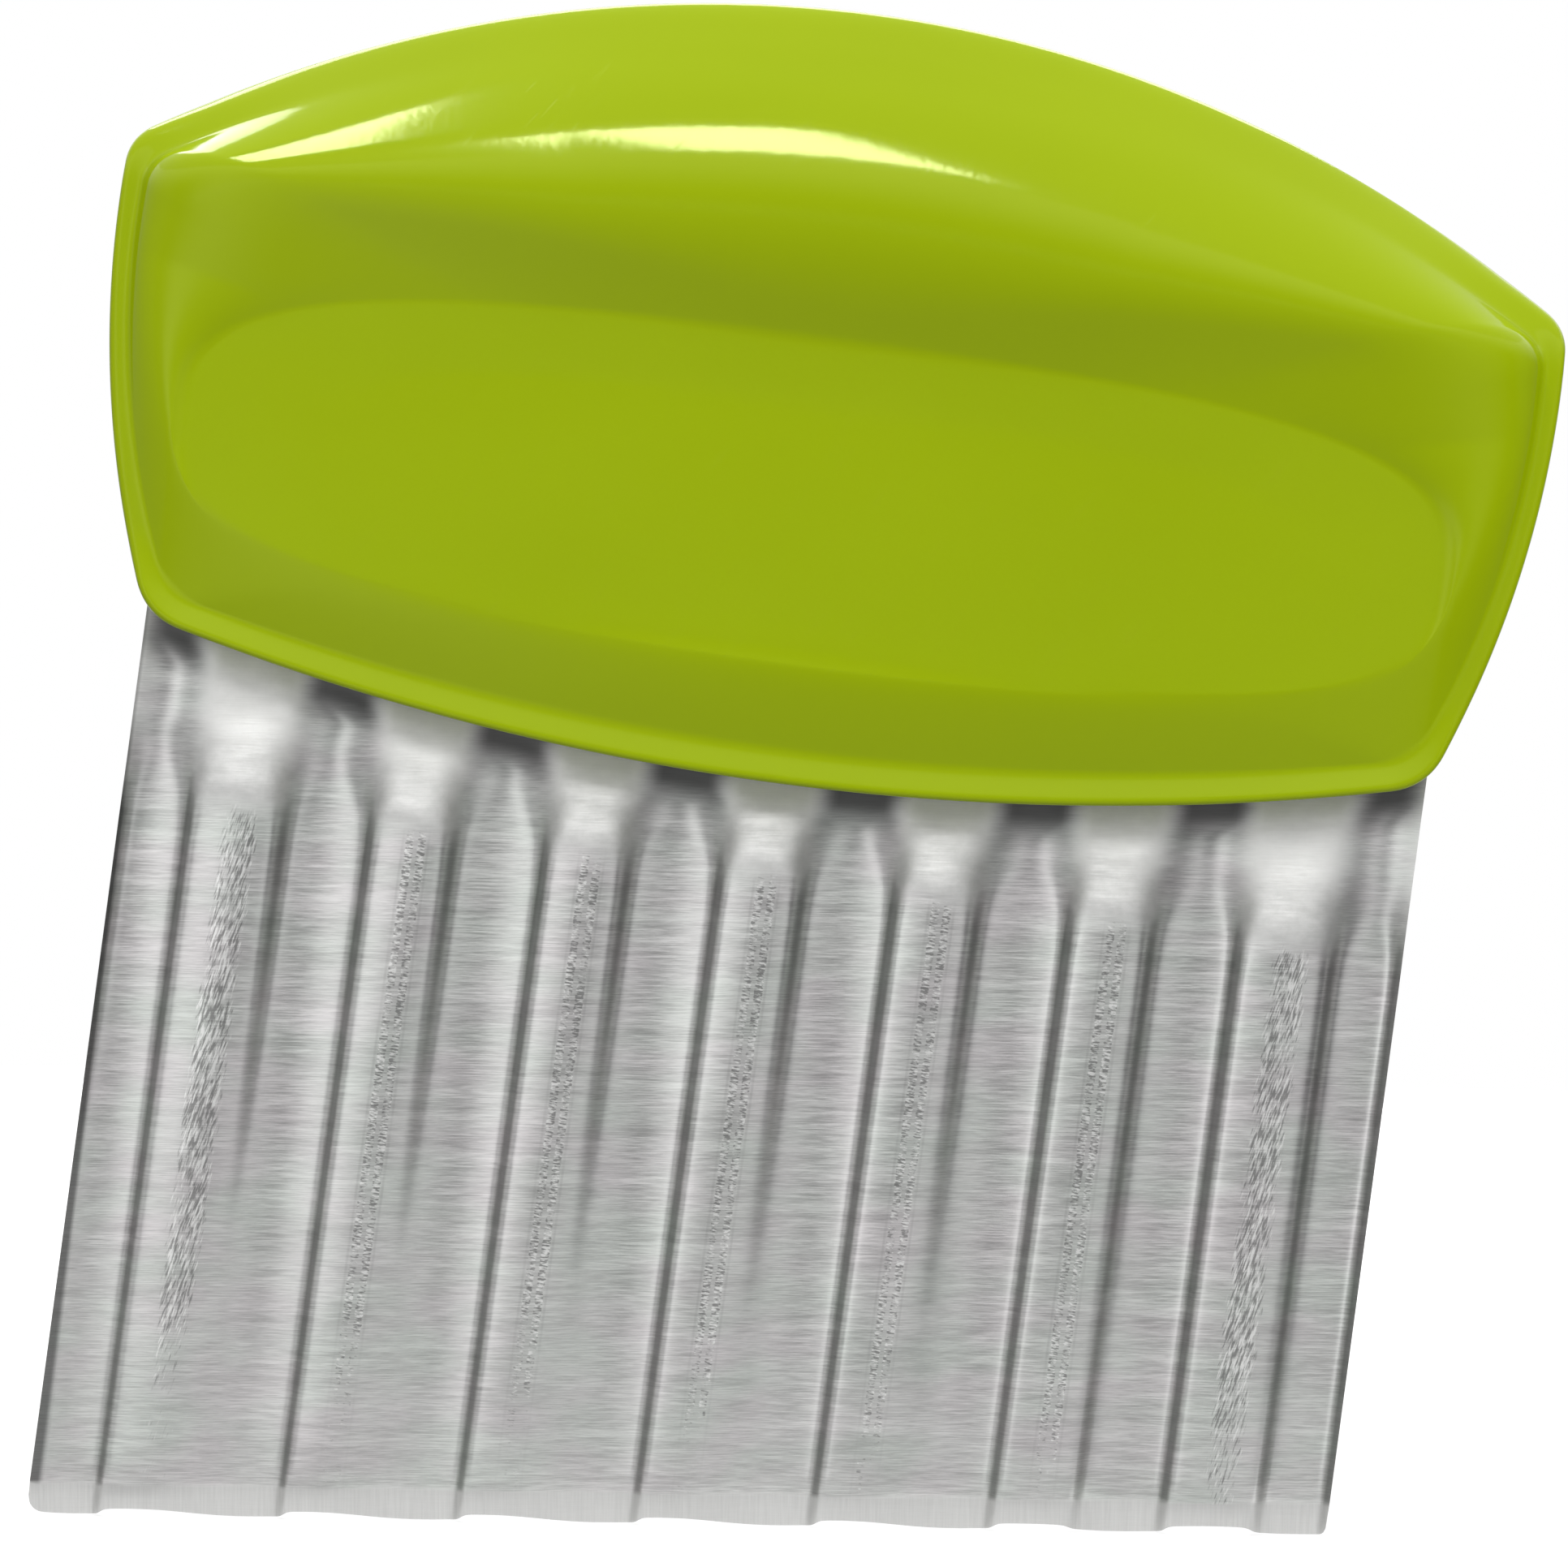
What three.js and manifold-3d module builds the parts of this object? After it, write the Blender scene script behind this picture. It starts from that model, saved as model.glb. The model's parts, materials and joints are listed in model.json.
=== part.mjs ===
// Crinkle cutter: a corrugated steel blade clamped between two moulded halves of a handle.
// Millimetres, +Z up. The cutter stands on its cutting edge, which runs along X, and its front faces -Y.
// The pieces are modelled upright in the handle's own axes, with its lowest point at the origin.
// The cutting edge slants to the handle, so the whole is turned until the edge is level.
import * as THREE from 'three';
import { mergeVertices } from 'three/addons/utils/BufferGeometryUtils.js';
import Module from 'manifold-3d';

// Handle outline, seen from the front: an upper and a lower arc, and two bowed sides
const HANDLE_HEIGHT = 57.8; // lowest point of the lower arc to the top of the upper arc
const TOP_CORNER_HALF = 53.8; // middle of the handle to a top corner
const BOTTOM_CORNER_HALF = 47.9; // middle of the handle to a bottom corner
const TOP_ARC_RISE = 16.5; // top corners up to the top of the upper arc
const BOTTOM_ARC_RISE = 6.1; // lowest point up to the bottom corners
const SIDE_BOW = 2.1; // how far a side bulges past its straight chord
const TOP_CORNER_ROUNDING = 1.8; // length along the arcs that a rounded top corner takes up
const BOTTOM_CORNER_ROUNDING = 2.6; // the same for a bottom corner

// Relief of a shell: depths are measured from the joint between the shells
const FLANGE_DEPTH = 3.4; // inner edge of the flange that runs round the handle
const RIM_DEPTH_ABOVE = 0.8; // outer edge of the flange along the upper arc
const RIM_DEPTH_BELOW = 3.9; // outer edge of the flange along the lower arc
const RIM_ROUNDING_ABOVE = 2.0; // rounding of the outer edge along the upper arc
const RIM_ROUNDING_BELOW = 0.7; // rounding of the outer edge at the ends and below
const FLANGE_FILLET = 0.5; // fillet between the flange and the slopes
const FLANGE_TOP = 3.4; // width of the flange above, at the ends and below
const FLANGE_SIDE = 1.5;
const FLANGE_BOTTOM = 2.4;
const CREST_DEPTH = 10.8; // crest under the upper arc, before it is rounded
const LIP_DEPTH = 5.4; // lip above the blade, before it is rounded
const BARREL_RADIUS = 800; // the face curves back towards both ends
const CREST_TOP_INSET = 13.8; // the crest line lies this far below the upper arc
const CREST_CORNER_INSET = 3.4; // how far it is from the ends at the top corners
const CREST_CORNER_DROP = 0.6; // how far it is below the top corners
const LIP_INSET = 8.0; // the lip's line lies this far above the lowest point
const LIP_CORNER_INSET = 3.9; // how far it is from the bottom corners, sideways and upwards
const LIP_CORNER_RAISE = 4.0;
const CREST_ROUNDING = 10.0; // rounding across the crest and the lip
const CREST_CORNER_ROUNDING = 5.0; // rounding of the crest line's corners, above and below
const LIP_CORNER_ROUNDING = 9.0;

// Gripping dish: an oval sunk in the face, with a smaller flat oval for its floor
const DISH_SIDE_MARGIN = 5.9; // from the bowed side to the end of the dish
const DISH_TOP_MARGIN = 24.8; // from the top of the handle to the dish
const DISH_BOTTOM_MARGIN = 9.6; // from the lowest point to the dish
const DISH_FLOOR_DEPTH = 5.2; // depth of the flat floor
const DISH_ROLL = 0.93; // share of the way from the face to the floor at which the dish's edge lies
const DISH_EDGE_ROUNDING = 0.6; // rounding across the dish's edge and round its floor
const FLOOR_ROUNDING = 1.2;
const DISH_SQUARENESS = 3.1; // exponent of the oval, 2 for an ellipse
const FLOOR_SIDE_MARGIN = 10.5; // from the dish's edge to its floor, at the ends, above and below
const FLOOR_TOP_MARGIN = 4.7;
const FLOOR_BOTTOM_MARGIN = 2.3;

// Inside of the shells
const WALL = 3.2; // wall at the joint
const FACE_WALL = 2.8; // wall of the face
const FLANGE_WALL = 1.8; // wall under the flange
const JOINT_GAP = 0.3; // gap between the two shells
const CLEARANCE = 0.3; // play between pieces that fit together
const TONGUE_INSET = 1.5; // from the outline to the tongue round the rear shell
const TONGUE_WIDTH = 0.8;
const TONGUE_HEIGHT = 0.5; // how far the tongue stands proud of the joint
const RIB_THICKNESS = 1.6; // clamping ribs on both sides of the tang
const RIB_SPACING = 26;
const POST_DIAMETER = 5; // posts through the tang
const POST_SPACING = 26;
const POST_HEIGHT = 20; // height of the posts above the lowest point of the handle
const COLLAR_WALL = 2; // wall of the collars round the posts and sockets

// Blade
const BLADE_WIDTH = 96.2;
const BLADE_DROP = 55.5; // lowest point of the handle to the cutting edge, at the middle
const EDGE_SLANT = 6.7; // degrees between the cutting edge and the handle
const SHEET = 0.8; // thickness of the steel
const RIDGES = 7;
const PITCH = 13.13; // between the middles of two ridges
const RIDGE_WIDTH = 5.65; // between the middles of a ridge's two walls
const OUTER_RIDGE_WIDTH = 6.5; // the same for the two outer ridges
const LEFT_WALL_RUN = 0.35; // half the sideways run of the wall on the left of a ridge
const RIGHT_WALL_RUN = 0.5; // the same on the right of a ridge
const SOFT_WALL_RUN = 2.7; // the same for both at the upper end of the ridges
const SOFT_FROM = 0.5; // the walls harden between these two distances below the lowest point of the handle
const SOFT_TO = 9;
const FADED_WALL_RUN = 3.5; // run of a right wall that has faded out
const FADED_SHARE = 0.75; // share of the way down to the edge at which right walls have faded out
const FADING_REACH = 27; // right walls fade out up to here, from the middle
const BEND_ALLOWANCE = 0.3; // the ridges are this much wider in front and narrower behind
const CROWN = 0.3; // share of the wave that is a plain rounded wave
const END_WALL = 0.15; // the sides are cut this far before the middle of the next wall
const DEPTH_ABOVE = 3.0; // valley to ridge, below the run-outs
const DEPTH_AT_EDGE = 2.3; // valley to ridge, at the cutting edge
const RIDGE_START = 0.2; // the ridges begin this far below the lowest point of the handle
const RIDGE_FOLLOW = 0.3; // share of the rise of the handle's lower arc that their upper ends follow
const RIDGE_END = 6.6; // the ridges are full this far below the lowest point of the handle
const RUN_OUT_EASE = 0.25; // share of a ridge's run-out that is rounded at either end
const VALLEY_START = 0.5; // the valleys begin this far above the handle's lower arc
const VALLEY_END = 2.6; // the valleys are full this far below the handle
const BEVEL_HEIGHT = 2.3; // height of the ground band at the cutting edge
const EDGE_LAND = 0.15; // thickness left at the cutting edge
const EDGE_WAVE = 0.7; // the edge is ground higher on the ridges than in the valleys
const LEFT_CORNER_RADIUS = 1.2;
const RIGHT_CORNER_RADIUS = 0.4;
const SHOULDER_HEIGHT = 8.2; // the blade keeps its full width up to here inside the handle
const TANG_FOOT_HEIGHT = 12; // the tang is at its own width from here
const TANG_TOP_HEIGHT = 31;
const TANG_INSET = 8; // how much narrower the tang is on each side

// Fineness of the facets
const TOP_STEPS = 20;
const SIDE_STEPS = 6;
const BOTTOM_STEPS = 16;
const CORNER_STEPS = 4;
const RUN_OUT_STEPS = 5;
const BODY_STEPS = 3;
const ROUND_STEPS = 20;

const wasm = await Module();
wasm.setup();

// A closed geometry as a solid for joining and cutting, and a solid as a geometry
function solid(geometry) {
  const bare = geometry.clone();
  bare.deleteAttribute('normal');
  bare.deleteAttribute('uv');
  const merged = mergeVertices(bare, 1e-4);
  return new wasm.Manifold(new wasm.Mesh({
    numProp: 3,
    vertProperties: new Float32Array(merged.attributes.position.array),
    triVerts: new Uint32Array(merged.index.array),
  }));
}

function geometryOf(body) {
  const mesh = body.getMesh();
  const geometry = new THREE.BufferGeometry();
  geometry.setAttribute('position', new THREE.BufferAttribute(mesh.vertProperties, 3));
  geometry.setIndex(new THREE.BufferAttribute(mesh.triVerts, 1));
  return geometry;
}

const { lerp, smoothstep } = THREE.MathUtils;
const point = (x, z) => new THREE.Vector2(x, z);

// Point at share t of the circular arc from a to b that bulges by rise to the left of the way from a to b
function arcPoint(a, b, rise, t) {
  const along = b.clone().sub(a);
  const chord = along.length();
  along.divideScalar(chord);
  const left = point(-along.y, along.x);
  const radius = (chord * chord / 4 + rise * rise) / (2 * rise);
  const halfAngle = Math.asin(chord / 2 / radius);
  const angle = halfAngle * (2 * t - 1);
  return a.clone()
    .addScaledVector(along, chord / 2 + radius * Math.sin(angle))
    .addScaledVector(left, radius * Math.cos(angle) - radius + rise);
}

// Closed outline of four arcs with rounded corners, clockwise from the top left corner
function outline({ topHalf, topZ, topRise, bottomHalf, bottomZ, bottomRise, topRounding, bottomRounding }) {
  const corners = [
    { at: point(-topHalf, topZ), rounding: topRounding, rise: topRise, steps: TOP_STEPS },
    { at: point(topHalf, topZ), rounding: topRounding, rise: SIDE_BOW, steps: SIDE_STEPS },
    { at: point(bottomHalf, bottomZ), rounding: bottomRounding, rise: bottomRise, steps: BOTTOM_STEPS },
    { at: point(-bottomHalf, bottomZ), rounding: bottomRounding, rise: SIDE_BOW, steps: SIDE_STEPS },
  ];
  const arcs = corners.map((corner, i) => {
    const next = corners[(i + 1) % corners.length];
    const length = corner.at.distanceTo(next.at);
    const from = corner.rounding / length;
    const to = 1 - next.rounding / length;
    const points = [];
    for (let k = 0; k <= corner.steps; k += 1) {
      points.push(arcPoint(corner.at, next.at, corner.rise, lerp(from, to, k / corner.steps)));
    }
    return points;
  });
  return arcs.flatMap((arc, i) => {
    const next = arcs[(i + 1) % arcs.length];
    const corner = corners[(i + 1) % corners.length].at;
    const bend = new THREE.QuadraticBezierCurve(arc.at(-1), corner, next[0]);
    return [...arc, ...bend.getPoints(CORNER_STEPS).slice(1, -1)];
  });
}

const handleSizes = {
  topHalf: TOP_CORNER_HALF,
  topZ: HANDLE_HEIGHT - TOP_ARC_RISE,
  topRise: TOP_ARC_RISE,
  bottomHalf: BOTTOM_CORNER_HALF,
  bottomZ: BOTTOM_ARC_RISE,
  bottomRise: BOTTOM_ARC_RISE,
  topRounding: TOP_CORNER_ROUNDING,
  bottomRounding: BOTTOM_CORNER_ROUNDING,
};
const handleOutline = outline(handleSizes);
const sideHalf = (TOP_CORNER_HALF + BOTTOM_CORNER_HALF) / 2 + SIDE_BOW;

// The outline drawn in towards the middle, by its own amount at the ends, above and below
function drawnIn(points, side, top = side, bottom = side) {
  const reach = Math.max(...points.map((p) => p.x));
  const high = Math.max(...points.map((p) => p.y));
  const low = Math.min(...points.map((p) => p.y));
  const stretch = (high - low - top - bottom) / (high - low);
  return points.map((p) => point(p.x * (1 - side / reach), low + bottom + (p.y - low) * stretch));
}

// The crest line and the lip's line join into one closed line round the face
const crestTopZ = handleSizes.topZ - CREST_CORNER_DROP;
const lipCornerZ = BOTTOM_ARC_RISE + LIP_CORNER_RAISE;
const crestLine = outline({
  topHalf: TOP_CORNER_HALF - CREST_CORNER_INSET,
  topZ: crestTopZ,
  topRise: HANDLE_HEIGHT - CREST_TOP_INSET - crestTopZ,
  bottomHalf: BOTTOM_CORNER_HALF - LIP_CORNER_INSET,
  bottomZ: lipCornerZ,
  bottomRise: lipCornerZ - LIP_INSET,
  topRounding: CREST_CORNER_ROUNDING,
  bottomRounding: LIP_CORNER_ROUNDING,
});

// An oval whose points lie in the same directions as the points of the crest line
function oval(half, low, high) {
  const middle = (low + high) / 2;
  const rise = (high - low) / 2;
  return crestLine.map((p) => {
    const way = point(p.x, p.y - middle).normalize();
    const reach = (Math.abs(way.x) / half) ** DISH_SQUARENESS + (Math.abs(way.y) / rise) ** DISH_SQUARENESS;
    return way.multiplyScalar(reach ** (-1 / DISH_SQUARENESS)).add(point(0, middle));
  });
}

const dishHalf = sideHalf - DISH_SIDE_MARGIN;
const dishHigh = HANDLE_HEIGHT - DISH_TOP_MARGIN;
const dishEdge = oval(dishHalf, DISH_BOTTOM_MARGIN, dishHigh);
const floorEdge = oval(
  dishHalf - FLOOR_SIDE_MARGIN,
  DISH_BOTTOM_MARGIN + FLOOR_BOTTOM_MARGIN,
  dishHigh - FLOOR_TOP_MARGIN,
);

// Depth of the face: deepest at the crest, less at the lip and towards the ends
function faceDepth(p) {
  const share = (p.y - LIP_INSET) / (HANDLE_HEIGHT - CREST_TOP_INSET - LIP_INSET);
  return lerp(LIP_DEPTH, CREST_DEPTH, share) - p.x * p.x / (2 * BARREL_RADIUS);
}

const dishDepth = (p) => lerp(faceDepth(p), DISH_FLOOR_DEPTH, DISH_ROLL);

// A ring round the handle: the points of a line, each at its own depth from the joint
const ring = (points, depth) => points.map((p) => {
  const deep = typeof depth === 'function' ? depth(p) : depth;
  return new THREE.Vector3(p.x, deep, p.y);
});

// Share of the way from the rim at the ends to the rim along the upper arc
function rimRise(z) {
  const cornerZ = HANDLE_HEIGHT - TOP_ARC_RISE;
  return smoothstep(z, cornerZ - FLANGE_TOP, (cornerZ + HANDLE_HEIGHT) / 2);
}

// Depth of the outer edge of the flange, which is level at the ends
function rimDepth(p) {
  const above = rimRise(p.y);
  const below = 1 - smoothstep(p.y, BOTTOM_ARC_RISE, 2 * BOTTOM_ARC_RISE);
  return FLANGE_DEPTH + above * (RIM_DEPTH_ABOVE - FLANGE_DEPTH) + below * (RIM_DEPTH_BELOW - FLANGE_DEPTH);
}

// Rings with the bend at each given ring rounded over a length: a number, or a function of the height.
// Two neighbours share the way between them.
function softened(bends) {
  const reach = ({ rounding = 0 }, z) => (typeof rounding === 'function' ? rounding(z) : rounding);
  const towards = (bend, other, j) => {
    const p = bend.line[j];
    const gap = p.distanceTo(other.line[j]);
    const room = THREE.MathUtils.clamp(1 - reach(other, p.z) / gap, 0.5, 0.9);
    return p.clone().lerp(other.line[j], Math.min(room, reach(bend, p.z) / gap));
  };
  return bends.flatMap((bend, i) => {
    if (!bend.rounding) {
      return [bend.line];
    }
    const curves = bend.line.map((p, j) => new THREE.QuadraticBezierCurve3(
      towards(bend, bends[i - 1], j),
      p,
      towards(bend, bends[i + 1], j),
    ));
    return Array.from({ length: bend.steps + 1 }, (_, k) => (
      curves.map((curve) => curve.getPoint(k / bend.steps))
    ));
  });
}

// Closed surface through rings that have the same number of points, with a fan over both ends
function ringLoft(rings, reversed) {
  const count = rings[0].length;
  const middle = (line) => line.reduce((sum, p) => sum.add(p), new THREE.Vector3()).divideScalar(count);
  const points = [...rings.flat(), middle(rings[0]), middle(rings.at(-1))];
  const first = points.length - 2;
  const last = points.length - 1;
  const end = (rings.length - 1) * count;
  const triangles = [];
  for (let j = 0; j < count; j += 1) {
    const next = (j + 1) % count;
    triangles.push([first, next, j], [last, end + j, end + next]);
    for (let low = 0; low < end; low += count) {
      const high = low + count;
      triangles.push([low + j, low + next, high + next], [low + j, high + next, high + j]);
    }
  }
  const geometry = new THREE.BufferGeometry().setFromPoints(points);
  geometry.setIndex(triangles.flatMap(([a, b, c]) => (reversed ? [a, c, b] : [a, b, c])));
  return geometry;
}

const joint = JOINT_GAP / 2;
const tangFace = SHEET / 2 + CLEARANCE; // what clamps the tang ends this far from the joint
const rootDepth = DISH_FLOOR_DEPTH - FACE_WALL / 2; // ribs, posts and collars are rooted in the wall here

// One half of the handle with its cavity open at the joint; facing is -1 at the front and 1 at the rear
function shellForm(facing, jointRings) {
  const flangeLine = drawnIn(handleOutline, FLANGE_SIDE, FLANGE_TOP, FLANGE_BOTTOM);
  const floorInside = drawnIn(floorEdge, 2 * FLOOR_ROUNDING);
  const rimRounding = (z) => lerp(RIM_ROUNDING_BELOW, RIM_ROUNDING_ABOVE, rimRise(z));
  const outside = softened([
    { line: ring(floorInside, DISH_FLOOR_DEPTH) },
    { line: ring(floorEdge, DISH_FLOOR_DEPTH), rounding: FLOOR_ROUNDING, steps: 2 },
    { line: ring(dishEdge, dishDepth), rounding: DISH_EDGE_ROUNDING, steps: 2 },
    { line: ring(crestLine, faceDepth), rounding: CREST_ROUNDING, steps: 6 },
    { line: ring(flangeLine, FLANGE_DEPTH), rounding: FLANGE_FILLET, steps: 2 },
    { line: ring(handleOutline, rimDepth), rounding: rimRounding, steps: 2 },
    { line: ring(handleOutline, joint) },
  ]).slice(1);
  const inside = [
    ring(drawnIn(handleOutline, WALL), joint),
    ring(drawnIn(handleOutline, WALL), FLANGE_DEPTH - FLANGE_WALL),
    ring(drawnIn(crestLine, FACE_WALL), (p) => faceDepth(p) - FACE_WALL),
    ring(drawnIn(dishEdge, FACE_WALL), (p) => dishDepth(p) - FACE_WALL),
    ring(floorEdge, DISH_FLOOR_DEPTH - FACE_WALL),
  ];
  const rings = [...outside, ...jointRings, ...inside];
  const placed = rings.map((line) => line.map((p) => new THREE.Vector3(p.x, facing * p.y, p.z)));
  return solid(ringLoft(placed, facing > 0));
}

// Rings of the tongue, or of the groove it fits in, from the outer side to the inner one
function tongueRings(play, height) {
  const outer = drawnIn(handleOutline, TONGUE_INSET - play);
  const inner = drawnIn(handleOutline, TONGUE_INSET + TONGUE_WIDTH + play);
  return [ring(outer, joint), ring(outer, height), ring(inner, height), ring(inner, joint)];
}

// A round peg along Y at a post's place, between two depths of the half that facing names
function peg(facing, x, diameter, from, to) {
  const geometry = new THREE.CylinderGeometry(diameter / 2, diameter / 2, to - from, ROUND_STEPS);
  return solid(geometry.translate(x, facing * (from + to) / 2, POST_HEIGHT));
}

const postPlaces = [-POST_SPACING, 0, POST_SPACING];
const ribPlaces = [-1.5, -0.5, 0.5, 1.5].map((k) => k * RIB_SPACING);
const collarDiameter = POST_DIAMETER + 2 * CLEARANCE + 2 * COLLAR_WALL;

// Clamping ribs and collars that reach from the wall of a shell to the tang
function withSupports(body, facing) {
  let whole = body;
  for (const x of ribPlaces) {
    const height = TANG_TOP_HEIGHT - TANG_FOOT_HEIGHT;
    const rib = new THREE.BoxGeometry(RIB_THICKNESS, rootDepth - tangFace, height);
    rib.translate(x, facing * (rootDepth + tangFace) / 2, TANG_FOOT_HEIGHT + height / 2);
    whole = whole.add(solid(rib));
  }
  for (const x of postPlaces) {
    whole = whole.add(peg(facing, x, collarDiameter, tangFace, rootDepth));
  }
  return whole;
}

const bladeHalf = BLADE_WIDTH / 2;
const tangHalf = bladeHalf - TANG_INSET;

// Room for the sheet between the shells: the upper outline of the blade with play all round
function bladeRoom() {
  const reach = bladeHalf + CLEARANCE;
  const tangReach = tangHalf + CLEARANCE;
  const shape = new THREE.Shape([
    point(-reach, -RIDGE_START),
    point(reach, -RIDGE_START),
    point(reach, SHOULDER_HEIGHT + CLEARANCE),
    point(tangReach, TANG_FOOT_HEIGHT + CLEARANCE),
    point(tangReach, TANG_TOP_HEIGHT + CLEARANCE),
    point(-tangReach, TANG_TOP_HEIGHT + CLEARANCE),
    point(-tangReach, TANG_FOOT_HEIGHT + CLEARANCE),
    point(-reach, SHOULDER_HEIGHT + CLEARANCE),
  ]);
  const geometry = new THREE.ExtrudeGeometry(shape, { depth: 2 * tangFace, bevelEnabled: false });
  return solid(geometry.translate(0, 0, -tangFace).rotateX(Math.PI / 2));
}

function frontShell() {
  const form = shellForm(-1, tongueRings(CLEARANCE, joint + TONGUE_HEIGHT + CLEARANCE));
  let body = withSupports(form, -1).subtract(bladeRoom());
  for (const x of postPlaces) {
    body = body.subtract(peg(-1, x, POST_DIAMETER + 2 * CLEARANCE, 0, rootDepth));
  }
  return geometryOf(body);
}

function rearShell() {
  const form = shellForm(1, tongueRings(0, -TONGUE_HEIGHT + joint));
  let body = withSupports(form, 1).subtract(bladeRoom());
  for (const x of postPlaces) {
    body = body.add(peg(1, x, POST_DIAMETER, CLEARANCE - rootDepth, rootDepth));
  }
  return geometryOf(body);
}

// Walls of the ridges: rising is 1 where the sheet comes forward on the way to +X, and -1 where it goes back
const walls = [
  { x: -bladeHalf - END_WALL, rising: -1 },
  ...Array.from({ length: RIDGES }, (_, i) => {
    const middle = (i - (RIDGES - 1) / 2) * PITCH;
    const outer = i === 0 || i === RIDGES - 1;
    const half = (outer ? OUTER_RIDGE_WIDTH : RIDGE_WIDTH) / 2;
    return [{ x: middle - half, rising: 1 }, { x: middle + half, rising: -1 }];
  }).flat(),
  { x: bladeHalf + END_WALL, rising: 1 },
];

// Stations across the blade: four at each wall, three between two walls, and the rounded corners
function stations() {
  const leastStep = LEFT_WALL_RUN / 4;
  const atWalls = walls.flatMap((wall) => [-1.6, -0.5, 0.5, 1.6].map((k) => wall.x + k * LEFT_WALL_RUN));
  const between = walls.slice(1).flatMap((wall, i) => (
    [0.3, 0.5, 0.7].map((k) => lerp(walls[i].x, wall.x, k))
  ));
  const corners = [0.1, 0.4].flatMap((k) => [
    -bladeHalf + k * LEFT_CORNER_RADIUS,
    bladeHalf - k * RIGHT_CORNER_RADIUS,
  ]);
  const inner = [...atWalls, ...between, ...corners]
    .filter((x) => Math.abs(x) < bladeHalf - leastStep / 3)
    .sort((a, b) => a - b);
  const spaced = inner.filter((x, i) => i === 0 || x - inner[i - 1] > leastStep / 3);
  return [-bladeHalf, ...spaced, bladeHalf];
}

// Height of the handle's lower arc above its lowest point
function lowerArc(x) {
  const radius = (BOTTOM_CORNER_HALF ** 2 + BOTTOM_ARC_RISE ** 2) / (2 * BOTTOM_ARC_RISE);
  return radius - Math.sqrt(radius * radius - x * x);
}

// How far the rounded corner at either end lifts the cutting edge
function cornerLift(x) {
  const radius = x < 0 ? LEFT_CORNER_RADIUS : RIGHT_CORNER_RADIUS;
  const into = THREE.MathUtils.clamp(Math.abs(x) - (bladeHalf - radius), 0, radius);
  return radius - Math.sqrt(radius * radius - into * into);
}

const edgeLine = (x) => x * Math.tan(THREE.MathUtils.degToRad(EDGE_SLANT)) - BLADE_DROP;

// Share of the way from the run-outs down to the cutting edge
const wayDown = (z) => THREE.MathUtils.clamp((-RIDGE_END - z) / (BLADE_DROP - RIDGE_END), 0, 1);

// Height of the wave at a place on the blade, -1 in a valley and 1 on a ridge: a smooth step at every wall,
// mixed with a plain wave. The walls are soft at the upper end, and right walls fade out towards the edge.
function wave(x, z, wider) {
  const hard = smoothstep(-z, SOFT_FROM, SOFT_TO);
  const leftRun = SOFT_WALL_RUN * (LEFT_WALL_RUN / SOFT_WALL_RUN) ** hard;
  const rightRun = SOFT_WALL_RUN * (RIGHT_WALL_RUN / SOFT_WALL_RUN) ** hard;
  const within = 1 - smoothstep(x, FADING_REACH - PITCH / 2, FADING_REACH + PITCH / 2);
  const faded = within * smoothstep(wayDown(z), 0, FADED_SHARE);
  const steps = walls.reduce((sum, wall) => {
    const past = x - wall.x + wall.rising * wider;
    const right = lerp(Math.tanh(past / rightRun), Math.tanh(past / FADED_WALL_RUN), faded);
    return sum + (wall.rising > 0 ? Math.tanh(past / leftRun) : -right);
  }, 1);
  return lerp(steps, Math.cos(2 * Math.PI * x / PITCH), CROWN);
}

// Height of a ridge's run-out at share t of its length: a straight rise from 0 to 1 with rounded ends
function runOut(t) {
  const rounded = (s) => s * s / (2 * RUN_OUT_EASE * (1 - RUN_OUT_EASE));
  if (t < RUN_OUT_EASE) {
    return rounded(t);
  }
  return t > 1 - RUN_OUT_EASE ? 1 - rounded(1 - t) : (t - RUN_OUT_EASE / 2) / (1 - RUN_OUT_EASE);
}

// Depth of the sheet's front, side -1, or rear, side 1: the wave swells on the ridges over a longer run-out
// than in the valleys, and it is shallower at the cutting edge
function sheetDepth(x, z, side) {
  const below = lowerArc(x) - z;
  const height = wave(x, z, -side * BEND_ALLOWANCE);
  const ridgeTop = RIDGE_FOLLOW * lowerArc(x) - RIDGE_START;
  const ridgeShare = runOut(THREE.MathUtils.clamp((ridgeTop - z) / (ridgeTop + RIDGE_END), 0, 1));
  const valleyShare = smoothstep(below, -VALLEY_START, VALLEY_END);
  const depth = lerp(DEPTH_ABOVE, DEPTH_AT_EDGE, wayDown(z));
  const swell = depth * lerp(valleyShare, ridgeShare, (height + 1) / 2);
  return side * SHEET / 2 - swell / 2 * height;
}

// Closed loop round the sheet at one level: along its front from left to right, and back along its rear.
// level gives the height at a station, narrowing the share of the width, ground what is cut off in front.
function sheetLoop(level, narrowing = 1, ground = 0) {
  const front = [];
  const rear = [];
  for (const x of stations()) {
    const z = level(x);
    front.push(new THREE.Vector3(x * narrowing, sheetDepth(x, z, -1) + ground, z));
    rear.unshift(new THREE.Vector3(x * narrowing, sheetDepth(x, z, 1), z));
  }
  return [...front, ...rear];
}

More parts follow.
